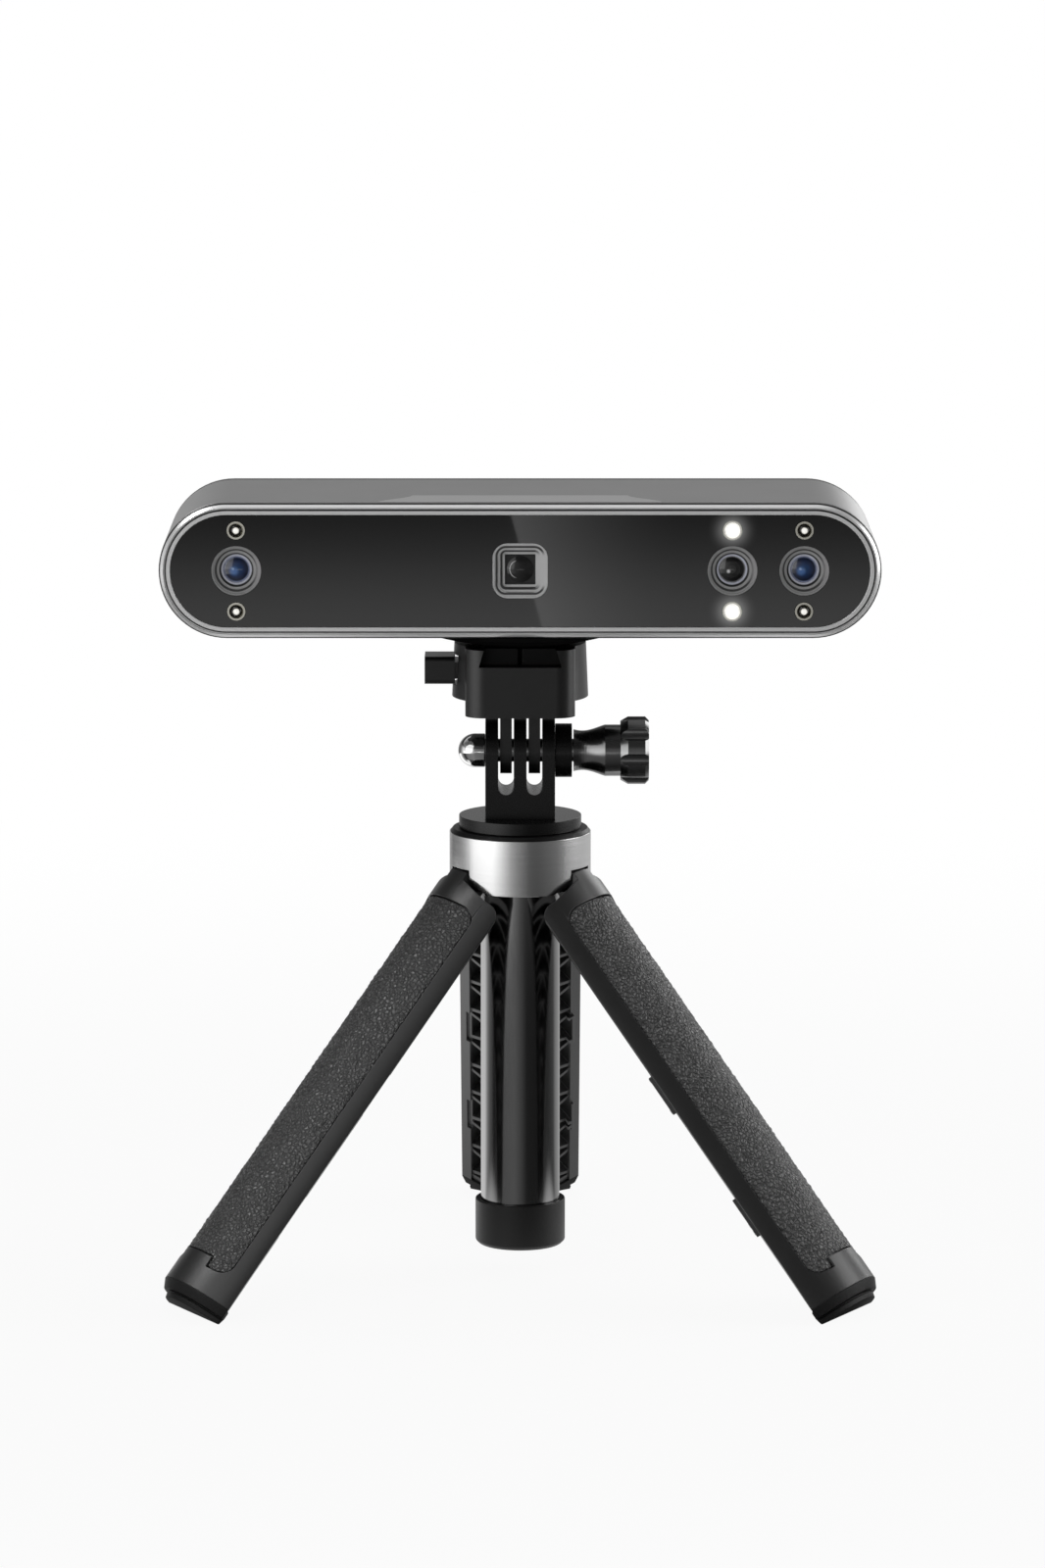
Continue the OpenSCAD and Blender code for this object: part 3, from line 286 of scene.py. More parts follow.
sleeve_metal = metal("sleeve_metal", grey(0.62), 0.4, (0.02, 1, 1), dim=0.75)
inlay_metal = metal("inlay_metal", grey(0.88), 0.4, (0.02, 1, 1))
collar_metal = metal("collar_metal", grey(0.8), 0.2, (0.01, 0.01, 1), 5200, 0.12, 0.75)
bench_metal = metal("bench_metal", grey(0.45), 0.35, (0.05, 1, 1))
steel = metal("steel", grey(0.55), 0.25)
nut_chrome = metal("nut_chrome", grey(0.8), 0.07, lines_depth=0.02)
insert_brass = metal("insert_brass", (0.6, 0.42, 0.14, 1), 0.25)
pole_black = metal("pole_black", grey(0.3), 0.13, (1, 1, 0.05), lines_depth=0.03)
knob_black = metal("knob_black", grey(0.27), 0.2, lines_depth=0.05)

dress(sleeve_metal, "head_sleeve")
dress(inlay_metal, "top_inlay")
dress(collar_metal, "collar")
dress(bench_metal, "optical_bench")
dress(steel, "rear_cover_screws", "bench_screws", "mount_screw", "release_spring", "tilt_bolt")
dress(nut_chrome, "cap_nut")
dress(insert_brass, "mount_insert")
dress(knob_black, "thumb_knob", "leg_pins")
dress(pole_black, "outer_tube", "lower_stage_tube", "upper_stage_tube")
print("metals dressed")

# %% [markdown]
# The bezel is one frame: a wide chamfer cut bright, a thin groove and a small bright bead beside the glass.
# Painted shade lies in the groove and along the rim where the bezel meets the sleeve. All follow the
# outline, which is a straight bar with round ends, so the zones come from the distance to the bar's middle
# line. The cut metal is satin, half mirror and half matt, so that it stays bright all the way round.

# %% Bezel
BEZEL_CHAMFER = 1.25
BEZEL_GROOVE = 0.3
RIM_SHADE_WIDTH = 0.26
RIM_SHADE_FADE = 0.08
GROOVE_SHADE_FADE = 0.06
BEZEL_SHADE = 0.9
bezel_low, bezel_high = [Vector(corner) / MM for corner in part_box("front_bezel")]
END_R = (bezel_high.z - bezel_low.z) / 2
STRAIGHT_HALF = (bezel_high.x - bezel_low.x) / 2 - END_R
BEZEL_Z = (bezel_high.z + bezel_low.z) / 2

bezel_metal = metal("bezel_metal", grey(BEZEL_SHADE), 0.3, lines_depth=0.02, dim=0.95)
bezel_metal.set("Metallic", 0.4)
x, _, z = bezel_metal.axes()
past_end = x.math("MAXIMUM", abs(x) - STRAIGHT_HALF, 0)
inward = END_R - past_end.root_sum(z - BEZEL_Z)
groove_end = BEZEL_CHAMFER + BEZEL_GROOVE
# Painted shade: a dark band in the groove and one along the outer rim, where the bezel meets the sleeve.
groove_shade = inward.rise(BEZEL_CHAMFER - GROOVE_SHADE_FADE, BEZEL_CHAMFER) * inward.rise(
    groove_end + GROOVE_SHADE_FADE, groove_end)
rim = inward.rise(RIM_SHADE_WIDTH + RIM_SHADE_FADE, RIM_SHADE_WIDTH)
bezel_metal.set("Base Color", bezel_metal.blend(groove_shade + rim, grey(BEZEL_SHADE), grey(0.03)))
dress(bezel_metal, "front_bezel")
print("bezel ends have a radius of", round(END_R, 2))

# %% [markdown]
# The clamp, the tilt joint, the legs and the rear cover are moulded. A spark-eroded mould leaves a skin of
# tiny pits, finer than a quarter of a millimetre, and the shade drifts a little over the piece. The feet
# and the pole's cap are softer rubber, duller and dustier.

# %% Plastics
SKIN_SCALE = 5200
DRIFT_SCALE = 140
SKIN_DEPTH = 0.03


def moulded(name, shade, roughness, pits=0.25, specular=0.5):
    """Moulded plastic or rubber: a pitted skin with slight drifts of shade and gloss."""
    finish = Finish(name, grey(shade), roughness, Specular_IOR_Level=specular)
    skin = finish.noise(SKIN_SCALE, 3)
    drift = finish.noise(DRIFT_SCALE, 2)
    mottle = 0.6 * drift + 0.4 * skin
    finish.set("Base Color", finish.blend(mottle, grey(shade * 0.82), grey(shade * 1.22)))
    finish.set("Roughness", roughness - 0.06 + 0.12 * skin)
    finish.bump(skin, SKIN_DEPTH * MM, pits)
    return finish


cover_plastic = moulded("cover_plastic", 0.03, 0.5, 0.5)
module_black = moulded("module_black", 0.02, 0.5)
dish_black = moulded("dish_black", 0.006, 0.6, specular=0)
clamp_plastic = moulded("clamp_plastic", 0.012, 0.34, 0.15)
# The release plate is painted darker than the clamp: painted shade in the clamp's mouth.
plate_black_painted_shade = moulded("plate_black_painted_shade", 0.004, 0.5, specular=0.15)
tilt_plastic = moulded("tilt_plastic", 0.005, 0.26, 0.06, specular=0.35)
guide_plastic = moulded("guide_plastic", 0.006, 0.4, specular=0.3)
leg_plastic = moulded("leg_plastic", 0.024, 0.34, 0.2, specular=0.8)
foot_rubber = moulded("foot_rubber", 0.014, 0.5, 0.5, specular=0.2)
cap_rubber = moulded("cap_rubber", 0.01, 0.42, 0.2, specular=0.3)
button_plastic = moulded("button_plastic", 0.4, 0.45, 0.2)

dress(cover_plastic, "rear_cover")
dress(module_black, "left_depth_camera", "right_depth_camera", "colour_camera", "pattern_projector",
      "button_switches")
dress(dish_black, "base_saucer")
dress(clamp_plastic, "clamp_body", "release_latch")
dress(plate_black_painted_shade, "release_plate")
dress(tilt_plastic, "tilt_base", "knob_bush")
dress(guide_plastic, "outer_tube_bush", "lower_stage_rings", "upper_stage_slider", "leg_hub")
dress(leg_plastic, "left_leg", "right_leg", "rear_leg")
dress(foot_rubber, "left_foot", "right_foot", "rear_foot")
dress(cap_rubber, "pole_foot_cap")
dress(button_plastic, "start_button", "plus_button", "minus_button")
print("plastics dressed")

# %% [markdown]
# Behind dark gloss glass sit the cameras. Each has a stepped ring, bright on its lands, with painted shade
# in its corners, so the rings are painted by their distance from the camera's axis. The places come from the
# CAD nodes' own boxes, so they follow the model.

# %% Places of the optics
def middle(name):
    """Middle of a CAD node, in millimetres."""
    low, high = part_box(name)
    return (Vector(low) + Vector(high)) / 2 / MM


LIGHT_RING_R = 2.07
HEAD_Z = middle("front_panel").z
LEFT_X = middle("left_depth_lens").x
RIGHT_X = middle("right_depth_lens").x
COLOUR_X = middle("colour_lens").x
LED_RISE = (Vector(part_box("led_rings")[1]) / MM).z - HEAD_Z - LIGHT_RING_R
print("cameras at", [round(x, 2) for x in (LEFT_X, COLOUR_X, RIGHT_X)], "lights", round(LED_RISE, 2))


def camera_offset(finish):
    """Offsets across and up from the axis of the nearest camera."""
    x, _, z = finish.axes()
    past_middle = x.math("GREATER_THAN", x, 0)
    past_colour = x.math("GREATER_THAN", x, (COLOUR_X + RIGHT_X) / 2)
    axis = LEFT_X + past_middle * (COLOUR_X - LEFT_X) + past_colour * (RIGHT_X - COLOUR_X)
    return x - axis, z - HEAD_Z


def light_distance(finish):
    """Distance from the axis of the nearest light."""
    across, up = camera_offset(finish)
    return across.root_sum(abs(up) - LED_RISE)


# %% [markdown]
# The glass itself is black and glossy. The two white lights are lit, and round them the glass has a faint
# painted glow, standing in for their light scattered in the glass.

# %% Front glass
PAINTED_HALO_R = 6
front_glass = Finish("front_glass", grey(0.004), 0.04, Emission_Strength=1)
x, _, z = front_glass.axes()
# A painted glow in the glass round the white lights, fading with distance.
from_light = (x - COLOUR_X).root_sum(abs(z - HEAD_Z) - LED_RISE)
nearness = 1 - from_light / PAINTED_HALO_R
painted_halo = x.math("POWER", x.math("MAXIMUM", nearness, 0), 3)
front_glass.set("Emission Color", front_glass.blend(painted_halo * 0.45, grey(0), grey(1)))
front_glass.set("Roughness", 0.01 + 0.015 * front_glass.noise(300, 3))
dress(front_glass, "front_panel")
print("glass dressed")

# %% [markdown]
# The stepped rings: lands are light, with painted shade in the corners between them. Light from the left
# reaches the right side of the steps, so painted light there fades the shaded lines.

# %% Stepped rings
RING_HOLE = 2.6
RING_WIDTH = 2.7
rings = Finish("stepped_rings", grey(0.3), 0.35)
across, up = camera_offset(rings)
distance = across.root_sum(up)
# The dark bands between the light lands are painted shade in the corners of the steps.
lands_and_corner_shade = rings.ramp((distance - RING_HOLE) / RING_WIDTH, [
    (0.0, (0.8, 0.82, 0.95, 1)), (0.23, (0.78, 0.8, 0.92, 1)), (0.26, grey(0.03)), (0.37, grey(0.03)),
    (0.41, grey(0.55)), (0.57, grey(0.55)), (0.61, grey(0.05)), (0.71, grey(0.05)), (0.75, grey(0.45)),
    (0.95, grey(0.42)), (1.0, grey(0.12))])
# Painted light on the right side of the rings.
painted_light_side = (across / 5).rise(0.6, 1.0)
rings.set("Base Color", rings.blend(painted_light_side * 0.8, lands_and_corner_shade, (0.5, 0.49, 0.5, 1)))
rings.set("Roughness", 0.3 + 0.1 * rings.noise(2500))
dress(rings, "lens_baffles")

WINDOW_CORE = 3.0
WINDOW_LIP = 2.75
window = Finish("window_steps", grey(0.2), 0.35)
x, _, z = window.axes()
up = z - HEAD_Z
beside = x.math("MAXIMUM", abs(x) - WINDOW_CORE, 0)
above = x.math("MAXIMUM", abs(up) - WINDOW_CORE, 0)
# The dark bands between the light lands are painted shade in the corners of the steps.
steps = window.ramp(beside.root_sum(above) / WINDOW_LIP, [
    (0.0, grey(0.02)), (0.05, grey(0.05)), (0.08, grey(0.75)), (0.25, grey(0.75)), (0.29, grey(0.06)),
    (0.43, grey(0.06)), (0.47, grey(0.75)), (0.62, grey(0.75)), (0.66, grey(0.06)), (0.79, grey(0.06)),
    (0.83, grey(0.75)), (1.0, grey(0.75))])
# Painted light on the right side of the steps.
painted_light_side = x.rise(3.1, 3.4) * abs(up).rise(4.4, 3.0)
window.set("Base Color", window.blend(painted_light_side, steps, grey(0.75)))
window.set("Roughness", 0.3 + 0.1 * window.noise(2500))
dress(window, "projector_baffle")
print("rings painted")

# %% [markdown]
# A coated lens is dark. Painted reflections in the colour of its coating stand for its inner surfaces. Depth
# cameras have a blue coating with a painted blue glow, a painted glint and a pale painted reflection at the
# rim;
# the colour camera a plain one with a painted glint and a bright painted rim, and the projector's lens shows
# only a painted highlight on the edge of an inner element.

# %% Lenses
LENS_R = 2.8


def spot(across, up, at_x, at_z, size):
    """1 in a soft spot, 0 outside it: a mask for painted highlights and reflections."""
    return (across - at_x).root_sum(up - at_z).rise(size, size * 0.3)


blue_lens = Finish("blue_lens", grey(0.02), 0.04, Coat_Weight=0.5)
across, up = camera_offset(blue_lens)
distance = across.root_sum(up)
# The pale ring at the rim is a painted reflection.
coating_and_painted_reflection = blue_lens.ramp(distance / LENS_R, [
    (0.0, (0.02, 0.07, 0.16, 1)), (0.3, (0.02, 0.06, 0.18, 1)), (0.62, (0.02, 0.035, 0.1, 1)),
    (0.85, (0.012, 0.018, 0.04, 1)), (0.93, (0.2, 0.24, 0.38, 1)), (1.0, (0.6, 0.62, 0.8, 1))])
# A painted blue reflection of the coating, then a painted glint.
glow = spot(across, up, -0.55, -0.35, 1.3)
coating_and_painted_reflection = blue_lens.blend(glow * 0.8, coating_and_painted_reflection, (0.11, 0.25, 0.62, 1))
painted_glint = spot(across, up, -0.75, 0.1, 0.4)
coating_and_painted_reflection = blue_lens.blend(painted_glint * 0.7, coating_and_painted_reflection, (0.45, 0.65, 0.95, 1))
blue_lens.set("Base Color", coating_and_painted_reflection)
dress(blue_lens, "left_depth_lens", "right_depth_lens")

dark_lens = Finish("dark_lens", grey(0.02), 0.04, Coat_Weight=0.5)
across, up = camera_offset(dark_lens)
distance = across.root_sum(up)
# The bright ring at the rim is a painted reflection, and the white spot below is a painted glint.
inner_and_painted_glint = dark_lens.ramp(distance / LENS_R, [
    (0.0, grey(0.03)), (0.28, grey(0.05)), (0.34, grey(0.02)), (0.6, grey(0.03)), (0.66, grey(0.012)),
    (0.9, grey(0.01)), (0.95, grey(0.2)), (1.0, grey(0.45))])
inner_and_painted_glint = dark_lens.blend(spot(across, up, -0.75, -0.4, 0.55), inner_and_painted_glint, grey(0.95))
dark_lens.set("Base Color", inner_and_painted_glint)
dress(dark_lens, "colour_lens")

edge_lens = Finish("edge_lens", grey(0.02), 0.06)
x, _, z = edge_lens.axes()
up = z - HEAD_Z
distance = (x + 0.3).root_sum(up)
# A painted highlight on the edge of an inner element, on its left side only.
edge = distance.rise(1.75, 1.9) * distance.rise(2.05, 1.92) * x.rise(-0.6, -1.6)
edge_lens.set("Base Color", edge_lens.blend(edge, grey(0.02), grey(0.8)))
dress(edge_lens, "projector_lens")
print("lenses coated")

# %% [markdown]
# The infrared lights are clear domes over a bright reflector in a dark cup. Their middle is painted bright,
# as a highlight, with a faint painted glow. The white ones are lit: they give off light, and the rings round
# them have a painted glow.

# %% Lights
DOME_R = 1.5
RING_GLOW_REACH = 3
RING_GLOW_FADE = 0.5
infrared = Finish("infrared_dome", grey(0.3), 0.2, Coat_Weight=0.1, Emission_Strength=1)
distance = light_distance(infrared)
# The middle is painted bright as a highlight.
infrared.set("Base Color", infrared.ramp(distance / DOME_R, [
    (0.0, (1.0, 0.98, 0.88, 1)), (0.46, (1.0, 0.97, 0.86, 1)), (0.5, (0.012, 0.011, 0.008, 1)),
    (0.85, (0.012, 0.011, 0.008, 1)), (0.9, (0.85, 0.83, 0.74, 1)), (1.0, (0.8, 0.78, 0.7, 1))]))
# A faint painted glow in the middle, though infrared gives no visible light.
infrared.set("Emission Color", infrared.blend(distance.rise(0.45, 0.7), grey(0.5), grey(0)))
dress(infrared, "infrared_leds")

ring_metal = Finish("ring_metal", grey(0.7), 0.2, 1, Emission_Strength=1)
x = ring_metal.axes()[0]
# Painted glow on the rings round the white lights, fading away from the lights.
lit = abs(x - COLOUR_X).rise(RING_GLOW_REACH + RING_GLOW_FADE, RING_GLOW_REACH)
ring_speckle = ring_metal.noise(3000)
ring_metal.set("Base Color", ring_metal.blend(ring_speckle, (0.66, 0.64, 0.56, 1), (0.8, 0.78, 0.7, 1)))
from_light = light_distance(ring_metal)
painted_ring_glow = lit * from_light.rise(2.3, 1.4)
ring_metal.set("Emission Color", ring_metal.blend(painted_ring_glow, grey(0), grey(0.3)))
dress(ring_metal, "led_rings")

lit_white = Finish("lit_white", grey(0.9), 0.3, Emission_Strength=2)
distance = light_distance(lit_white)
lit_white.set("Emission Color", lit_white.blend(distance.rise(0.7, 1.4), grey(1), grey(0.2)))
dress(lit_white, "white_leds")

light_pipe = Finish("light_pipe", (0.6, 0.8, 0.62, 1), 0.2, Emission_Strength=0.3)
pipe_cloud = light_pipe.noise(900)
light_pipe.set("Emission Color", light_pipe.blend(pipe_cloud, (0.3, 0.8, 0.4, 1), (0.4, 0.9, 0.5, 1)))
dress(light_pipe, "status_light")
print("lights dressed")

# %% [markdown]
# Circuit boards sit inside: green solder mask over copper tracks, which a brick pattern of thin mortar lines
# imitates well enough for a piece that shows only when the head is opened. The data socket at the back is
# stamped steel round a black tongue.

# %% Boards and socket
board_green = Finish("board_green", (0.01, 0.1, 0.035, 1), 0.3)
tracks = board_green.wire.node("ShaderNodeTexBrick", {
    "Vector": board_green.wire.node("ShaderNodeMapping", {
        "Vector": board_green.place, "Rotation": (math.pi / 2, 0, 0)}),
    "Scale": 300, "Mortar Size": 0.05, "Color1": grey(0), "Color2": grey(0.25), "Mortar": grey(1)})
board_green.set("Base Color", board_green.blend(tracks, (0.008, 0.09, 0.03, 1), (0.05, 0.22, 0.08, 1)))
dress(board_green, "led_boards", "main_board")

socket_steel = Finish("socket_steel", grey(0.55), 0.28)
x, _, z = socket_steel.axes()
across = abs(x - middle("usb_socket").x)
tongue = across.rise(3.6, 3.4) * abs(z - HEAD_Z).rise(0.42, 0.38)
socket_steel.set("Base Color", socket_steel.blend(tongue, grey(0.6), grey(0.015)))
socket_steel.set("Metallic", 1 - tongue)
socket_steel.set("Roughness", 0.25 + 0.1 * socket_steel.noise(3000))
dress(socket_steel, "usb_socket")
print("boards and socket dressed")

# %% [markdown]
# The grips are pads of pebbled leatherette set into the legs. Their grain shows in the photograph as real
# relief, so it is modelled: a copy of the CAD pad is merged, remeshed into small even faces and pushed out
# by a cell texture, with larger folds from a cloud texture. It is drawn in a little, so that a dark line
# shows round it. One pad is made and copied to the other legs, which stand a third of a turn apart.

# %% Leather relief
MERGE_GAP = 0.01
VOXEL = 0.24
PAD_DRAWN_IN = 0.12
PEBBLE = (1.1, 0.42)
FOLD = (2.4, 0.16)


def only(piece):
    """Makes one piece the active and only selected one."""
    bpy.ops.object.select_all(action="DESELECT")
    bpy.context.view_layer.objects.active = piece
    piece.select_set(True)


def cell_texture(name, size):
    """Rounded cells, high in the middle and low along their borders."""
    texture = bpy.data.textures.new(name, "VORONOI")
    texture.noise_scale = size * MM
    texture.weight_1 = -1
    texture.weight_2 = 1
    texture.noise_intensity = 1.2
    return texture


def cloud_texture(name, size):
    """Soft clouds."""
    texture = bpy.data.textures.new(name, "CLOUDS")
    texture.noise_scale = size * MM
    texture.noise_depth = 2
    return texture


def apply_all(piece):
    """Applies every modifier of a piece, in order."""
    only(piece)
    for modifier in list(piece.modifiers):
        bpy.ops.object.modifier_apply(modifier=modifier.name)


left_pad = bpy.data.objects.new("left_leather_pad", nodes["left_grip"].data.copy())
bpy.context.scene.collection.objects.link(left_pad)
only(left_pad)
bpy.ops.object.mode_set(mode="EDIT")
bpy.ops.mesh.select_all(action="SELECT")
bpy.ops.mesh.remove_doubles(threshold=MERGE_GAP * MM)
bpy.ops.object.mode_set(mode="OBJECT")
remesh = left_pad.modifiers.new("even_faces", "REMESH")
remesh.mode = "VOXEL"
remesh.voxel_size = VOXEL * MM
smooth = left_pad.modifiers.new("round_rim", "SMOOTH")
smooth.factor = 0.5
smooth.iterations = 4
shrink = left_pad.modifiers.new("border_gap", "DISPLACE")
shrink.mid_level = 0
shrink.strength = -PAD_DRAWN_IN * MM
pebbles = cell_texture("pebbles", PEBBLE[0])
folds = cloud_texture("folds", FOLD[0])
for texture, height in ((pebbles, PEBBLE[1]), (folds, FOLD[1])):
    relief = left_pad.modifiers.new(texture.name, "DISPLACE")
    relief.texture = texture
    relief.texture_coords = "LOCAL"
    relief.mid_level = 0.5
    relief.strength = height * MM
apply_all(left_pad)
bpy.ops.object.shade_smooth()
print("pad has", len(left_pad.data.polygons), "faces")

# %% [markdown]
# Leatherette is a dull black skin. The tops of the pebbles are a little shinier than the valleys and painted
# paler, as painted light on the relief, with some random tone; a fine bump adds the pores that are too small
# to model.

# %% Leather pads
PORE_DEPTH = 0.16
leather = Finish("leather_pad", grey(0.06), 0.5)
wrinkles = leather.noise(1500, 4)
cells = leather.wire.node("ShaderNodeTexVoronoi", {"Vector": leather.place, "Scale": 1150},
                          feature="DISTANCE_TO_EDGE")
tops = (cells + 0.35 * wrinkles).rise(0.12, 0.5)
# Painted light and shade on the relief: tops paler, valleys darker, with some random tone.
tone_and_painted_relief_shade = 0.75 * tops + 0.25 * leather.noise(250, 3)
leather.set("Base Color", leather.blend(tone_and_painted_relief_shade, grey(0.008), grey(0.13)))
leather.set("Roughness", 0.52 - 0.2 * tops)
leather.bump(tops + 0.5 * wrinkles, PORE_DEPTH * MM, 0.9)

PADS = {"left": 0, "right": 120, "rear": -120}
for side, turn in PADS.items():
    pad = left_pad
    if turn:
        pad = bpy.data.objects.new(side + "_leather_pad", left_pad.data.copy())
        bpy.context.scene.collection.objects.link(pad)
        pad.data.transform(Matrix.Rotation(math.radians(turn), 4, "Z"))
    pad.data.materials.clear()
    pad.data.materials.append(leather.material)
    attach(pad, side + "_leg")
    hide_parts(side + "_grip")
    dress(leather, side + "_grip")
print("pads on", list(PADS))

# %% [markdown]
# The back of the head has a start button, a plus and a minus, and four small screws. None of it shows in the
# photograph, so it is kept plain: raised marks that a finger can feel, and cross slots in the screws. A few
# helpers come first: they make a box or a cross, extrude chosen faces and round the edges.

# %% Shaping helpers
def pull(piece, chosen, move):
    """Extrudes the faces that a test chooses."""
    only(piece)
    bpy.ops.object.mode_set(mode="EDIT")
    bpy.ops.mesh.select_mode(type="FACE")
    bpy.ops.mesh.select_all(action="DESELECT")
    bpy.ops.object.mode_set(mode="OBJECT")
    for face in piece.data.polygons:
        face.select = chosen(face)
    bpy.ops.object.mode_set(mode="EDIT")
    bpy.ops.mesh.extrude_region_move(TRANSFORM_OT_translate={"value": move})
    bpy.ops.object.mode_set(mode="OBJECT")


def settle(piece):
    """Moves a piece's place and size into its mesh."""
    only(piece)
    bpy.ops.object.transform_apply(location=True, rotation=True, scale=True)


def block(name, place, size):
    """A box of a size in millimetres round a place in millimetres."""
    bpy.ops.object.select_all(action="DESELECT")
    bpy.ops.mesh.primitive_cube_add(size=1, location=Vector(place) * MM)
    piece = bpy.context.object
    piece.name = name
    piece.scale = Vector(size) * MM
    settle(piece)
    return piece


def cross(name, place, arm, width, depth):
    """A plus sign in X and Z: a square core with an arm pulled from each of its four sides."""
    piece = block(name, place, (width, depth, width))
    for way in (Vector((1, 0, 0)), Vector((-1, 0, 0)), Vector((0, 0, 1)), Vector((0, 0, -1))):
        core = Vector(place) * MM + way * width / 2 * MM
        pull(piece, lambda face: (face.center - core).length < 0.01 * MM, way * (arm - width / 2) * MM)
    return piece


def round_off(piece, width):
    """Bevels a piece's edges by a width in millimetres and applies it."""
    bevel = piece.modifiers.new("round_off", "BEVEL")
    bevel.width = width * MM
    bevel.segments = EDGE_STEPS
    bevel.limit_method = "ANGLE"
    apply_all(piece)
    bpy.ops.object.shade_smooth_by_angle(angle=math.radians(30))


print("shaping helpers ready")

# %% [markdown]
# A mark starts as a primitive at the middle of the button's outer face, half sunk in it, and rides on the
# button. The start mark is a triangle, made as a cylinder with three sides.

# %% Marks on the buttons
mark_black = moulded("mark_black", 0.03, 0.4)
MARK_RISE = 0.25
MARK_ARM = 1.6
MARK_WIDTH = 0.7
TRIANGLE_R = 2
MARK_ROUND = 0.12


def on_button(name):
    """Middle of a button's outer face, in millimetres."""
    spot_at = middle(name)
    spot_at.y = Vector(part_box(name)[1]).y / MM
    return spot_at


plus_mark = cross("plus_mark", on_button("plus_button"), MARK_ARM, MARK_WIDTH, 2 * MARK_RISE)
minus_mark = block("minus_mark", on_button("minus_button"), (2 * MARK_ARM, 2 * MARK_RISE, MARK_WIDTH))
bpy.ops.object.select_all(action="DESELECT")
bpy.ops.mesh.primitive_cylinder_add(vertices=3, radius=TRIANGLE_R * MM, depth=2 * MARK_RISE * MM,
                                    location=on_button("start_button") * MM,
                                    rotation=(math.pi / 2, math.pi / 2, 0))
start_mark = bpy.context.object
start_mark.name = "start_mark"
settle(start_mark)
for mark, body in ((plus_mark, "plus_button"), (minus_mark, "minus_button"), (start_mark, "start_button")):
    round_off(mark, MARK_ROUND)
    mark.data.materials.append(mark_black.material)
    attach(mark, body)
print("marks on three buttons")

# %% [markdown]
# A cover screw has a low round head with a cross slot. The head is a cylinder, a cross is cut out of it with
# a Boolean, and its edges are rounded. The shank is pulled out of the head's underside.

# %% Cover screws
screw_low = Vector(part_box("rear_cover_screws")[0]) / MM
screw_high = Vector(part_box("rear_cover_screws")[1]) / MM
HEAD_R = 1.6
HEAD_H = 1
SHANK_R = 0.8
SLOT_ARM = 0.95
SLOT_WIDTH = 0.38
SLOT_DEPTH = 0.6
HEAD_ROUND = 0.08
head_place = Vector((screw_high.x - HEAD_R, screw_high.y - HEAD_H / 2, screw_high.z - HEAD_R))

bpy.ops.object.select_all(action="DESELECT")
bpy.ops.mesh.primitive_cylinder_add(vertices=48, radius=HEAD_R * MM, depth=HEAD_H * MM,
                                    location=head_place * MM, rotation=(math.pi / 2, 0, 0))
screw = bpy.context.object
screw.name = "cover_screw"
settle(screw)
bpy.ops.object.mode_set(mode="EDIT")
bpy.ops.mesh.select_mode(type="FACE")
bpy.ops.mesh.select_all(action="DESELECT")
bpy.ops.object.mode_set(mode="OBJECT")
for face in screw.data.polygons:
    face.select = face.normal.y < -0.9
bpy.ops.object.mode_set(mode="EDIT")
bpy.ops.mesh.inset(thickness=(HEAD_R - SHANK_R) * MM)
shank_length = head_place.y - HEAD_H / 2 - screw_low.y
bpy.ops.mesh.extrude_region_move(TRANSFORM_OT_translate={"value": (0, -shank_length * MM, 0)})
bpy.ops.object.mode_set(mode="OBJECT")

slot_place = head_place + Vector((0, HEAD_H / 2, 0))
slot_cutter = cross("slot_cutter", slot_place, SLOT_ARM, SLOT_WIDTH, 2 * SLOT_DEPTH)
cut = screw.modifiers.new("cross_slot", "BOOLEAN")
cut.operation = "DIFFERENCE"
cut.object = slot_cutter
apply_all(screw)
bpy.data.objects.remove(slot_cutter)
round_off(screw, HEAD_ROUND)

screws = [screw]
for x_side, z_side in ((-1, 1), (1, -1), (-1, -1)):
    copy = bpy.data.objects.new("cover_screw_copy", screw.data.copy())
    bpy.context.scene.collection.objects.link(copy)
    shift = Vector(((x_side - 1) * head_place.x, 0, (z_side - 1) * (head_place.z - HEAD_Z))) * MM
    copy.data.transform(Matrix.Translation(shift))
    screws.append(copy)
only(screw)
for copy in screws:
    copy.select_set(True)
bpy.ops.object.join()
screw.name = "cover_screws"
screw.data.materials.append(steel.material)
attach(screw, "tilt_head")
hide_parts("rear_cover_screws")
print("four screws,", len(screw.data.polygons), "faces")

# %% [markdown]
# The spring behind the latch is a coil. Its wire follows a helix, written as a formula, inside the plain
# sleeve that stands for it in the CAD model.

# %% Latch spring
COIL_TURNS = 5
COIL_STEPS = 16
WIRE_R = 0.2
joints = {row["name"]: row for row in frame["record"]["behaviour"]["joints"]}
press = joints["release_latch_press"]["range_m"][1] / MM
coil_low, coil_high = [Vector(corner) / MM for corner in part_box("release_spring")]
coil_axis = (coil_low + coil_high) / 2
coil_r = (coil_high.z - coil_low.z) / 2 - WIRE_R
coil_length = coil_high.x - coil_low.x

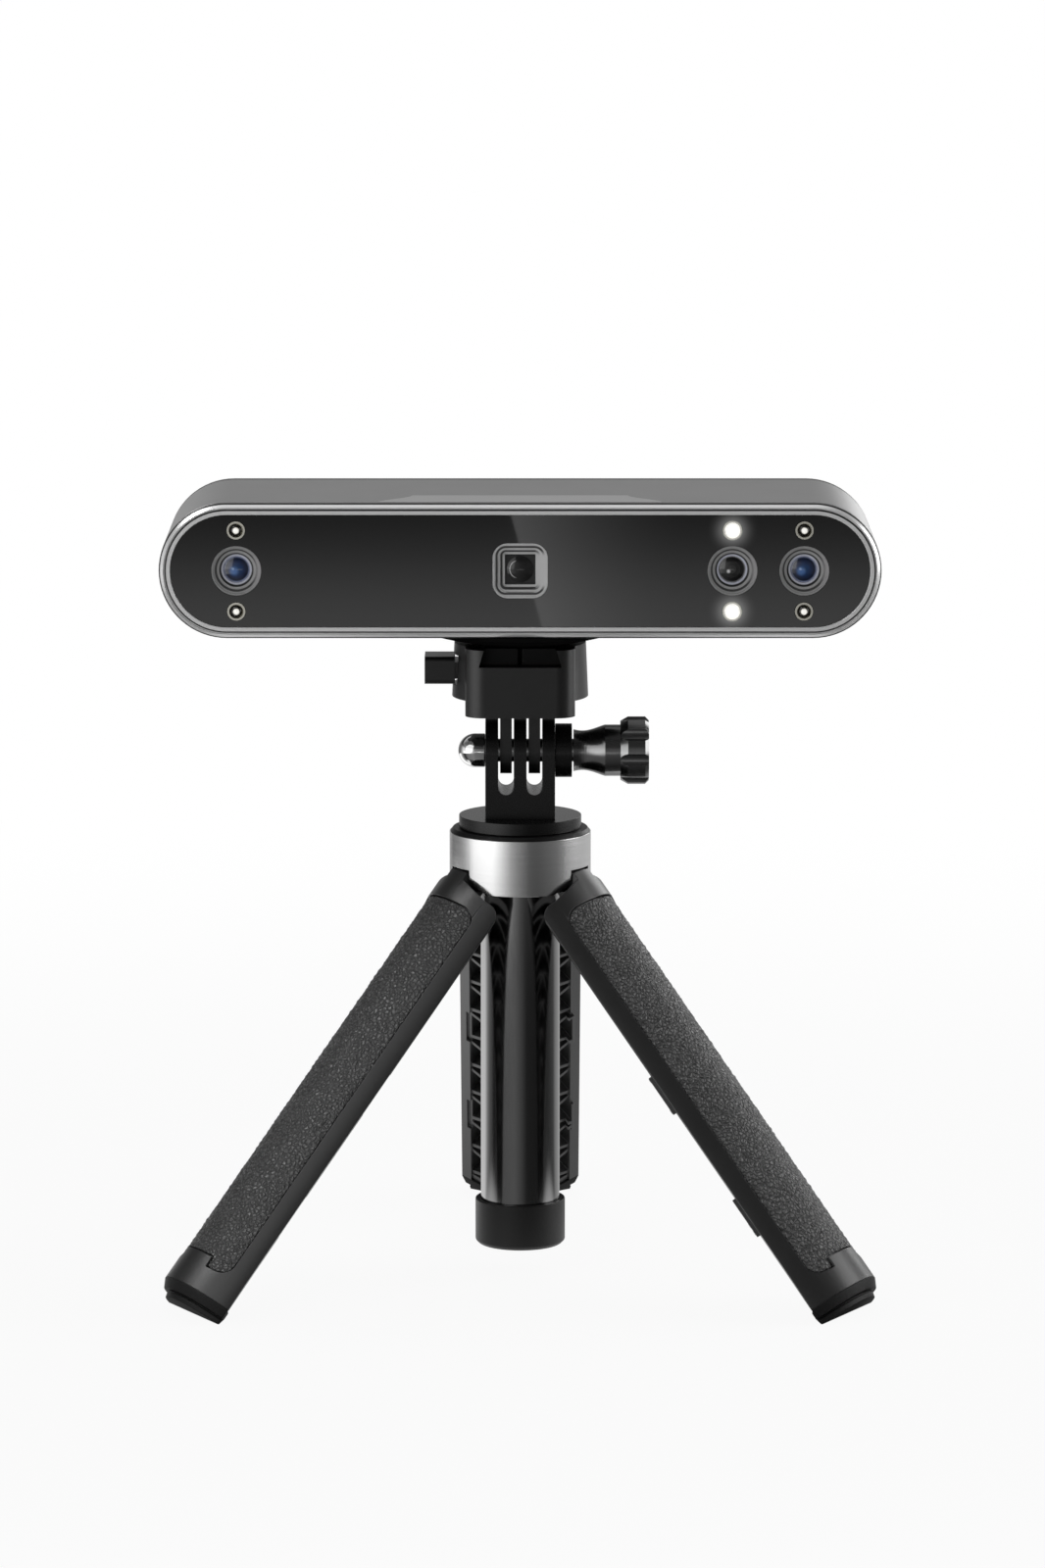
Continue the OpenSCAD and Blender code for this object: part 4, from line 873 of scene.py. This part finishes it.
bpy.ops.object.select_all(action="DESELECT")
bpy.ops.curve.primitive_nurbs_path_add(location=(0, 0, 0))
coil = bpy.context.object
coil.name = "latch_coil"
wire_line = coil.data.splines[0]
point_count = COIL_TURNS * COIL_STEPS + 1
wire_line.points.add(point_count - len(wire_line.points))
for i, point in enumerate(wire_line.points):
    turn = 2 * math.pi * i / COIL_STEPS
    along = coil_low.x + WIRE_R + (coil_length - 2 * WIRE_R) * i / (point_count - 1)
    round_it = Vector((0, math.cos(turn), math.sin(turn))) * coil_r
    place = (Vector((along, coil_axis.y, coil_axis.z)) + round_it) * MM
    point.co = (*place, 1)
wire_line.resolution_u = 2
coil.data.bevel_depth = WIRE_R * MM
coil.data.bevel_resolution = 2
coil.data.use_fill_caps = True
only(coil)
bpy.ops.object.convert(target="MESH")
coil.data.materials.append(steel.material)
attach(coil, "tilt_head")
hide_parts("release_spring")
(coil_length - press) / coil_length
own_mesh(coil)
print("coil of", COIL_TURNS, "turns,", round(coil_length, 2), "long,", len(coil.data.polygons), "faces")

# %% [markdown]
# The studio is white for the camera: a pale floor that runs out to the horizon and glows towards white, most
# of all far from the object, so that only the shadow near the feet stays. Mirrors see a room instead, by the
# bearing of what they face: brightest at the front left, dark at the front and the right. The floor near the
# object has light and dark parts of its own. Both draw the bands on the collar, the pole and the knob. Above
# the floor the room's light is limited and dims with height, apart from a bright panel overhead.

# %% Floor and world
def stage_plane(name, corners, material):
    """A flat face that belongs to the studio."""
    mesh = bpy.data.meshes.new(name)
    mesh.from_pydata(corners, [], [tuple(range(len(corners)))])
    plane = bpy.data.objects.new(name, mesh)
    bpy.context.scene.collection.objects.link(plane)
    mesh.materials.append(material)
    return plane


def light_path(tree, output):
    """1 for one kind of ray and 0 for others."""
    return Wire(tree, tree.nodes.new("ShaderNodeLightPath").outputs[output])


BRIGHTEST = 2
FLOOR_SHADE = 0.82
NEAR_GLOW = 0.93
GLOW_RISE = (0.15, 0.6)
FOOTPRINT_STRETCH = 0.4
FOOTPRINT_EDGE = (0.03, 0.05)
ROOM_EDGE = (0.43, 0.46)
PANEL_EDGE = (0.92, 0.985)
WALL_TOP = (0.17, 0.36)
WALL_LIMIT = 0.9
HIGH_DIMMING = 0.75
AMBIENT = 0.2
REACH = 12
FAR_ROOM = [(-180, 0.5), (-160, 0.45), (-140, 0.15), (-119, 0.17), (-105, 0.4), (-93, 0.8), (-80, 1.7),
            (-45, 1.9), (-28, 1.0), (-14, 0.45), (0, 0.2), (12, 0.12), (30, 0.12), (45, 0.16), (62, 0.2),
            (85, 0.36), (105, 0.52), (140, 0.56), (180, 0.5)]
NEAR_FLOOR = [(-180, 0.5), (-150, 1.0), (-125, 1.5), (-109, 0.5), (-98, 0.2), (-90, 0.15), (-84, 0.04),
              (-75, 0.03), (-62, 0.2), (-15, 0.24), (4, 0.13), (18, 0.04), (48, 0.03), (60, 0.05),
              (88, 0.06), (100, 0.1), (112, 0.15), (123, 0.5), (145, 0.6), (180, 0.5)]


def room_light(wire, x, y, room_stops):
    """Brightness of the room in a mirror, by the bearing from the viewer's side: minus is left."""
    bearing = wire.math("ARCTAN2", x, 0 - y) / (2 * math.pi) + 0.5
    stops = [(angle / 360 + 0.5, grey(value / BRIGHTEST)) for angle, value in room_stops]
    return wire.node("ShaderNodeValToRGB", {"Fac": bearing}, stops=stops) * BRIGHTEST


floor_paint = bpy.data.materials.new("floor_paint")
floor_paint.use_nodes = True
floor_tree = floor_paint.node_tree
floor_wire = Wire(floor_tree)
floor_place = floor_wire.node("ShaderNodeTexCoord", output="Object")
floor_x = floor_wire.node("ShaderNodeSeparateXYZ", {0: floor_place}, output=0)
floor_y = floor_wire.node("ShaderNodeSeparateXYZ", {0: floor_place}, output=1)
from_middle = floor_x.root_sum(floor_y)
far = from_middle.rise(*GLOW_RISE)
outside = (FOOTPRINT_STRETCH * floor_x).root_sum(floor_y).rise(*FOOTPRINT_EDGE)
seen = light_path(floor_tree, "Is Camera Ray")
mirrored = light_path(floor_tree, "Is Glossy Ray") + light_path(floor_tree, "Is Transmission Ray")
share = seen * (NEAR_GLOW + (1 - NEAR_GLOW) * far) + mirrored
beyond = from_middle.rise(*ROOM_EDGE)
near_light = room_light(floor_wire, floor_x, floor_y, NEAR_FLOOR)
far_light = room_light(floor_wire, floor_x, floor_y, FAR_ROOM)
room = 1 - outside + outside * (near_light * (1 - beyond) + far_light * beyond)
matte = floor_wire.node("ShaderNodeBsdfDiffuse", {"Color": grey(FLOOR_SHADE)})
glow = floor_wire.node("ShaderNodeEmission", {"Color": grey(1), "Strength": seen + mirrored * room})
mixed = floor_wire.node("ShaderNodeMixShader", {0: share, 1: matte, 2: glow})
floor_wire.feed(floor_tree.nodes["Material Output"].inputs["Surface"], mixed)
stage_plane("floor", [(-REACH, -REACH, 0), (REACH, -REACH, 0), (REACH, REACH, 0), (-REACH, REACH, 0)],
            floor_paint)

world = bpy.data.worlds.new("studio")
bpy.context.scene.world = world
world.use_nodes = True
world_tree = world.node_tree
world_wire = Wire(world_tree)
toward = world_wire.node("ShaderNodeTexCoord", output="Generated")
sky_x, sky_y, sky_z = [world_wire.node("ShaderNodeSeparateXYZ", {0: toward}, output=i) for i in range(3)]
overhead = sky_z.rise(*PANEL_EDGE)
above_wall = sky_z.rise(*WALL_TOP)
seen = light_path(world_tree, "Is Camera Ray")
mirrored = light_path(world_tree, "Is Glossy Ray") + light_path(world_tree, "Is Transmission Ray")
lit = AMBIENT * (1 - seen - mirrored)
wall = room_light(world_wire, sky_x, sky_y, FAR_ROOM)
room = wall.math("MINIMUM", wall, WALL_LIMIT) * (1 - HIGH_DIMMING * above_wall) + overhead
strength = seen + mirrored * room + lit.math("MAXIMUM", lit, 0)
background = world_tree.nodes["Background"]
world_wire.feed(background.inputs["Color"], grey(1))
world_wire.feed(background.inputs["Strength"], strength)
print("floor and world ready")

# %% [markdown]
# Five large lights give soft shading: a key light at the right, a weaker fill at the left, one above that
# adds no highlights, and two that add only highlights, on the grips and feet of the left and the right leg.

# %% Soft lights
def softbox(name, place, target, width, height, brightness):
    """A rectangular light of a given brightness, turned to a target."""
    light = bpy.data.lights.new(name, "AREA")
    light.shape = "RECTANGLE"
    light.size = width
    light.size_y = height
    light.energy = brightness * math.pi * width * height
    lamp = bpy.data.objects.new(name, light)
    bpy.context.scene.collection.objects.link(lamp)
    lamp.location = place
    lamp.rotation_euler = (Vector(target) - Vector(place)).to_track_quat("-Z", "Y").to_euler()
    lamp.visible_camera = False
    return lamp


MIDDLE = (0, 0, 0.1)
softbox("key_right", (1.15, 0.1, 0.4), MIDDLE, 0.8, 1.0, 3.0)
softbox("fill_left", (-0.8, -0.85, 0.45), MIDDLE, 1.2, 1.2, 0.9)
softbox("high_left", (-0.72, 0, 1.1), MIDDLE, 0.5, 0.5, 9).visible_diffuse = False
softbox("back_right", (0.7, 1.05, 0.5), MIDDLE, 0.5, 0.5, 2.5).visible_diffuse = False
softbox("top", (0, 0.5, 1.15), MIDDLE, 0.9, 0.9, 0.9).visible_glossy = False
print("five lights ready")

# %% [markdown]
# The glass is flat and mirrors one small patch of the room below the camera. Two cards stand there, out of
# the picture, whose common edge is the slanting line in the glass. Only mirrors see them.

# %% Cards in the glass
CARD_Y = -0.7
CARD_TOP = 0.09
CARD_LOW = 0.042
CARD_SIDE = 0.14
EDGE_TOP = -0.0049
EDGE_LOW = 0.0082
FADE_LENGTH = 0.055
CARD_DIM = 0.25
CARD_GAIN = 0.85
DIM_HEIGHT = 0.088
BRIGHT_HEIGHT = 0.045
EDGE_GLOW = 1.15


def card(name, corners, brightness):
    """A glowing card that only mirrors see. Its brightness is a function of wires across and up."""
    paint = bpy.data.materials.new(name)
    paint.use_nodes = True
    tree = paint.node_tree
    wire = Wire(tree)
    place = wire.node("ShaderNodeTexCoord", output="Object")
    across = wire.node("ShaderNodeSeparateXYZ", {0: place}, output=0)
    up = wire.node("ShaderNodeSeparateXYZ", {0: place}, output=2)
    glow = wire.node("ShaderNodeEmission", {"Color": grey(1), "Strength": brightness(across, up)})
    wire.feed(tree.nodes["Material Output"].inputs["Surface"], glow)
    plane = stage_plane(name, corners, paint)
    plane.visible_camera = False
    plane.visible_diffuse = False
    plane.visible_shadow = False
    return plane


def left_brightness(across, up):
    """Brighter towards the lower edge."""
    return CARD_DIM + CARD_GAIN * up.rise(DIM_HEIGHT, BRIGHT_HEIGHT)


def right_brightness(across, up):
    """The same, with a glow that fades away from the common edge."""
    fade = across.math("MAXIMUM", 1 - across / FADE_LENGTH, 0)
    return left_brightness(across, up) + EDGE_GLOW * fade * fade


card("left_card", [(-CARD_SIDE, CARD_Y, CARD_LOW), (EDGE_LOW, CARD_Y, CARD_LOW),
                   (EDGE_TOP, CARD_Y, CARD_TOP), (-CARD_SIDE, CARD_Y, CARD_TOP)], left_brightness)
card("right_card", [(EDGE_LOW, CARD_Y, CARD_LOW), (CARD_SIDE, CARD_Y, CARD_LOW),
                    (CARD_SIDE, CARD_Y, CARD_TOP), (EDGE_TOP, CARD_Y, CARD_TOP)], right_brightness)
print("cards ready")

# %% [markdown]
# The last cell sets the plain view transform.

# %% Finish
scene = bpy.context.scene
scene.view_settings.view_transform = "Standard"
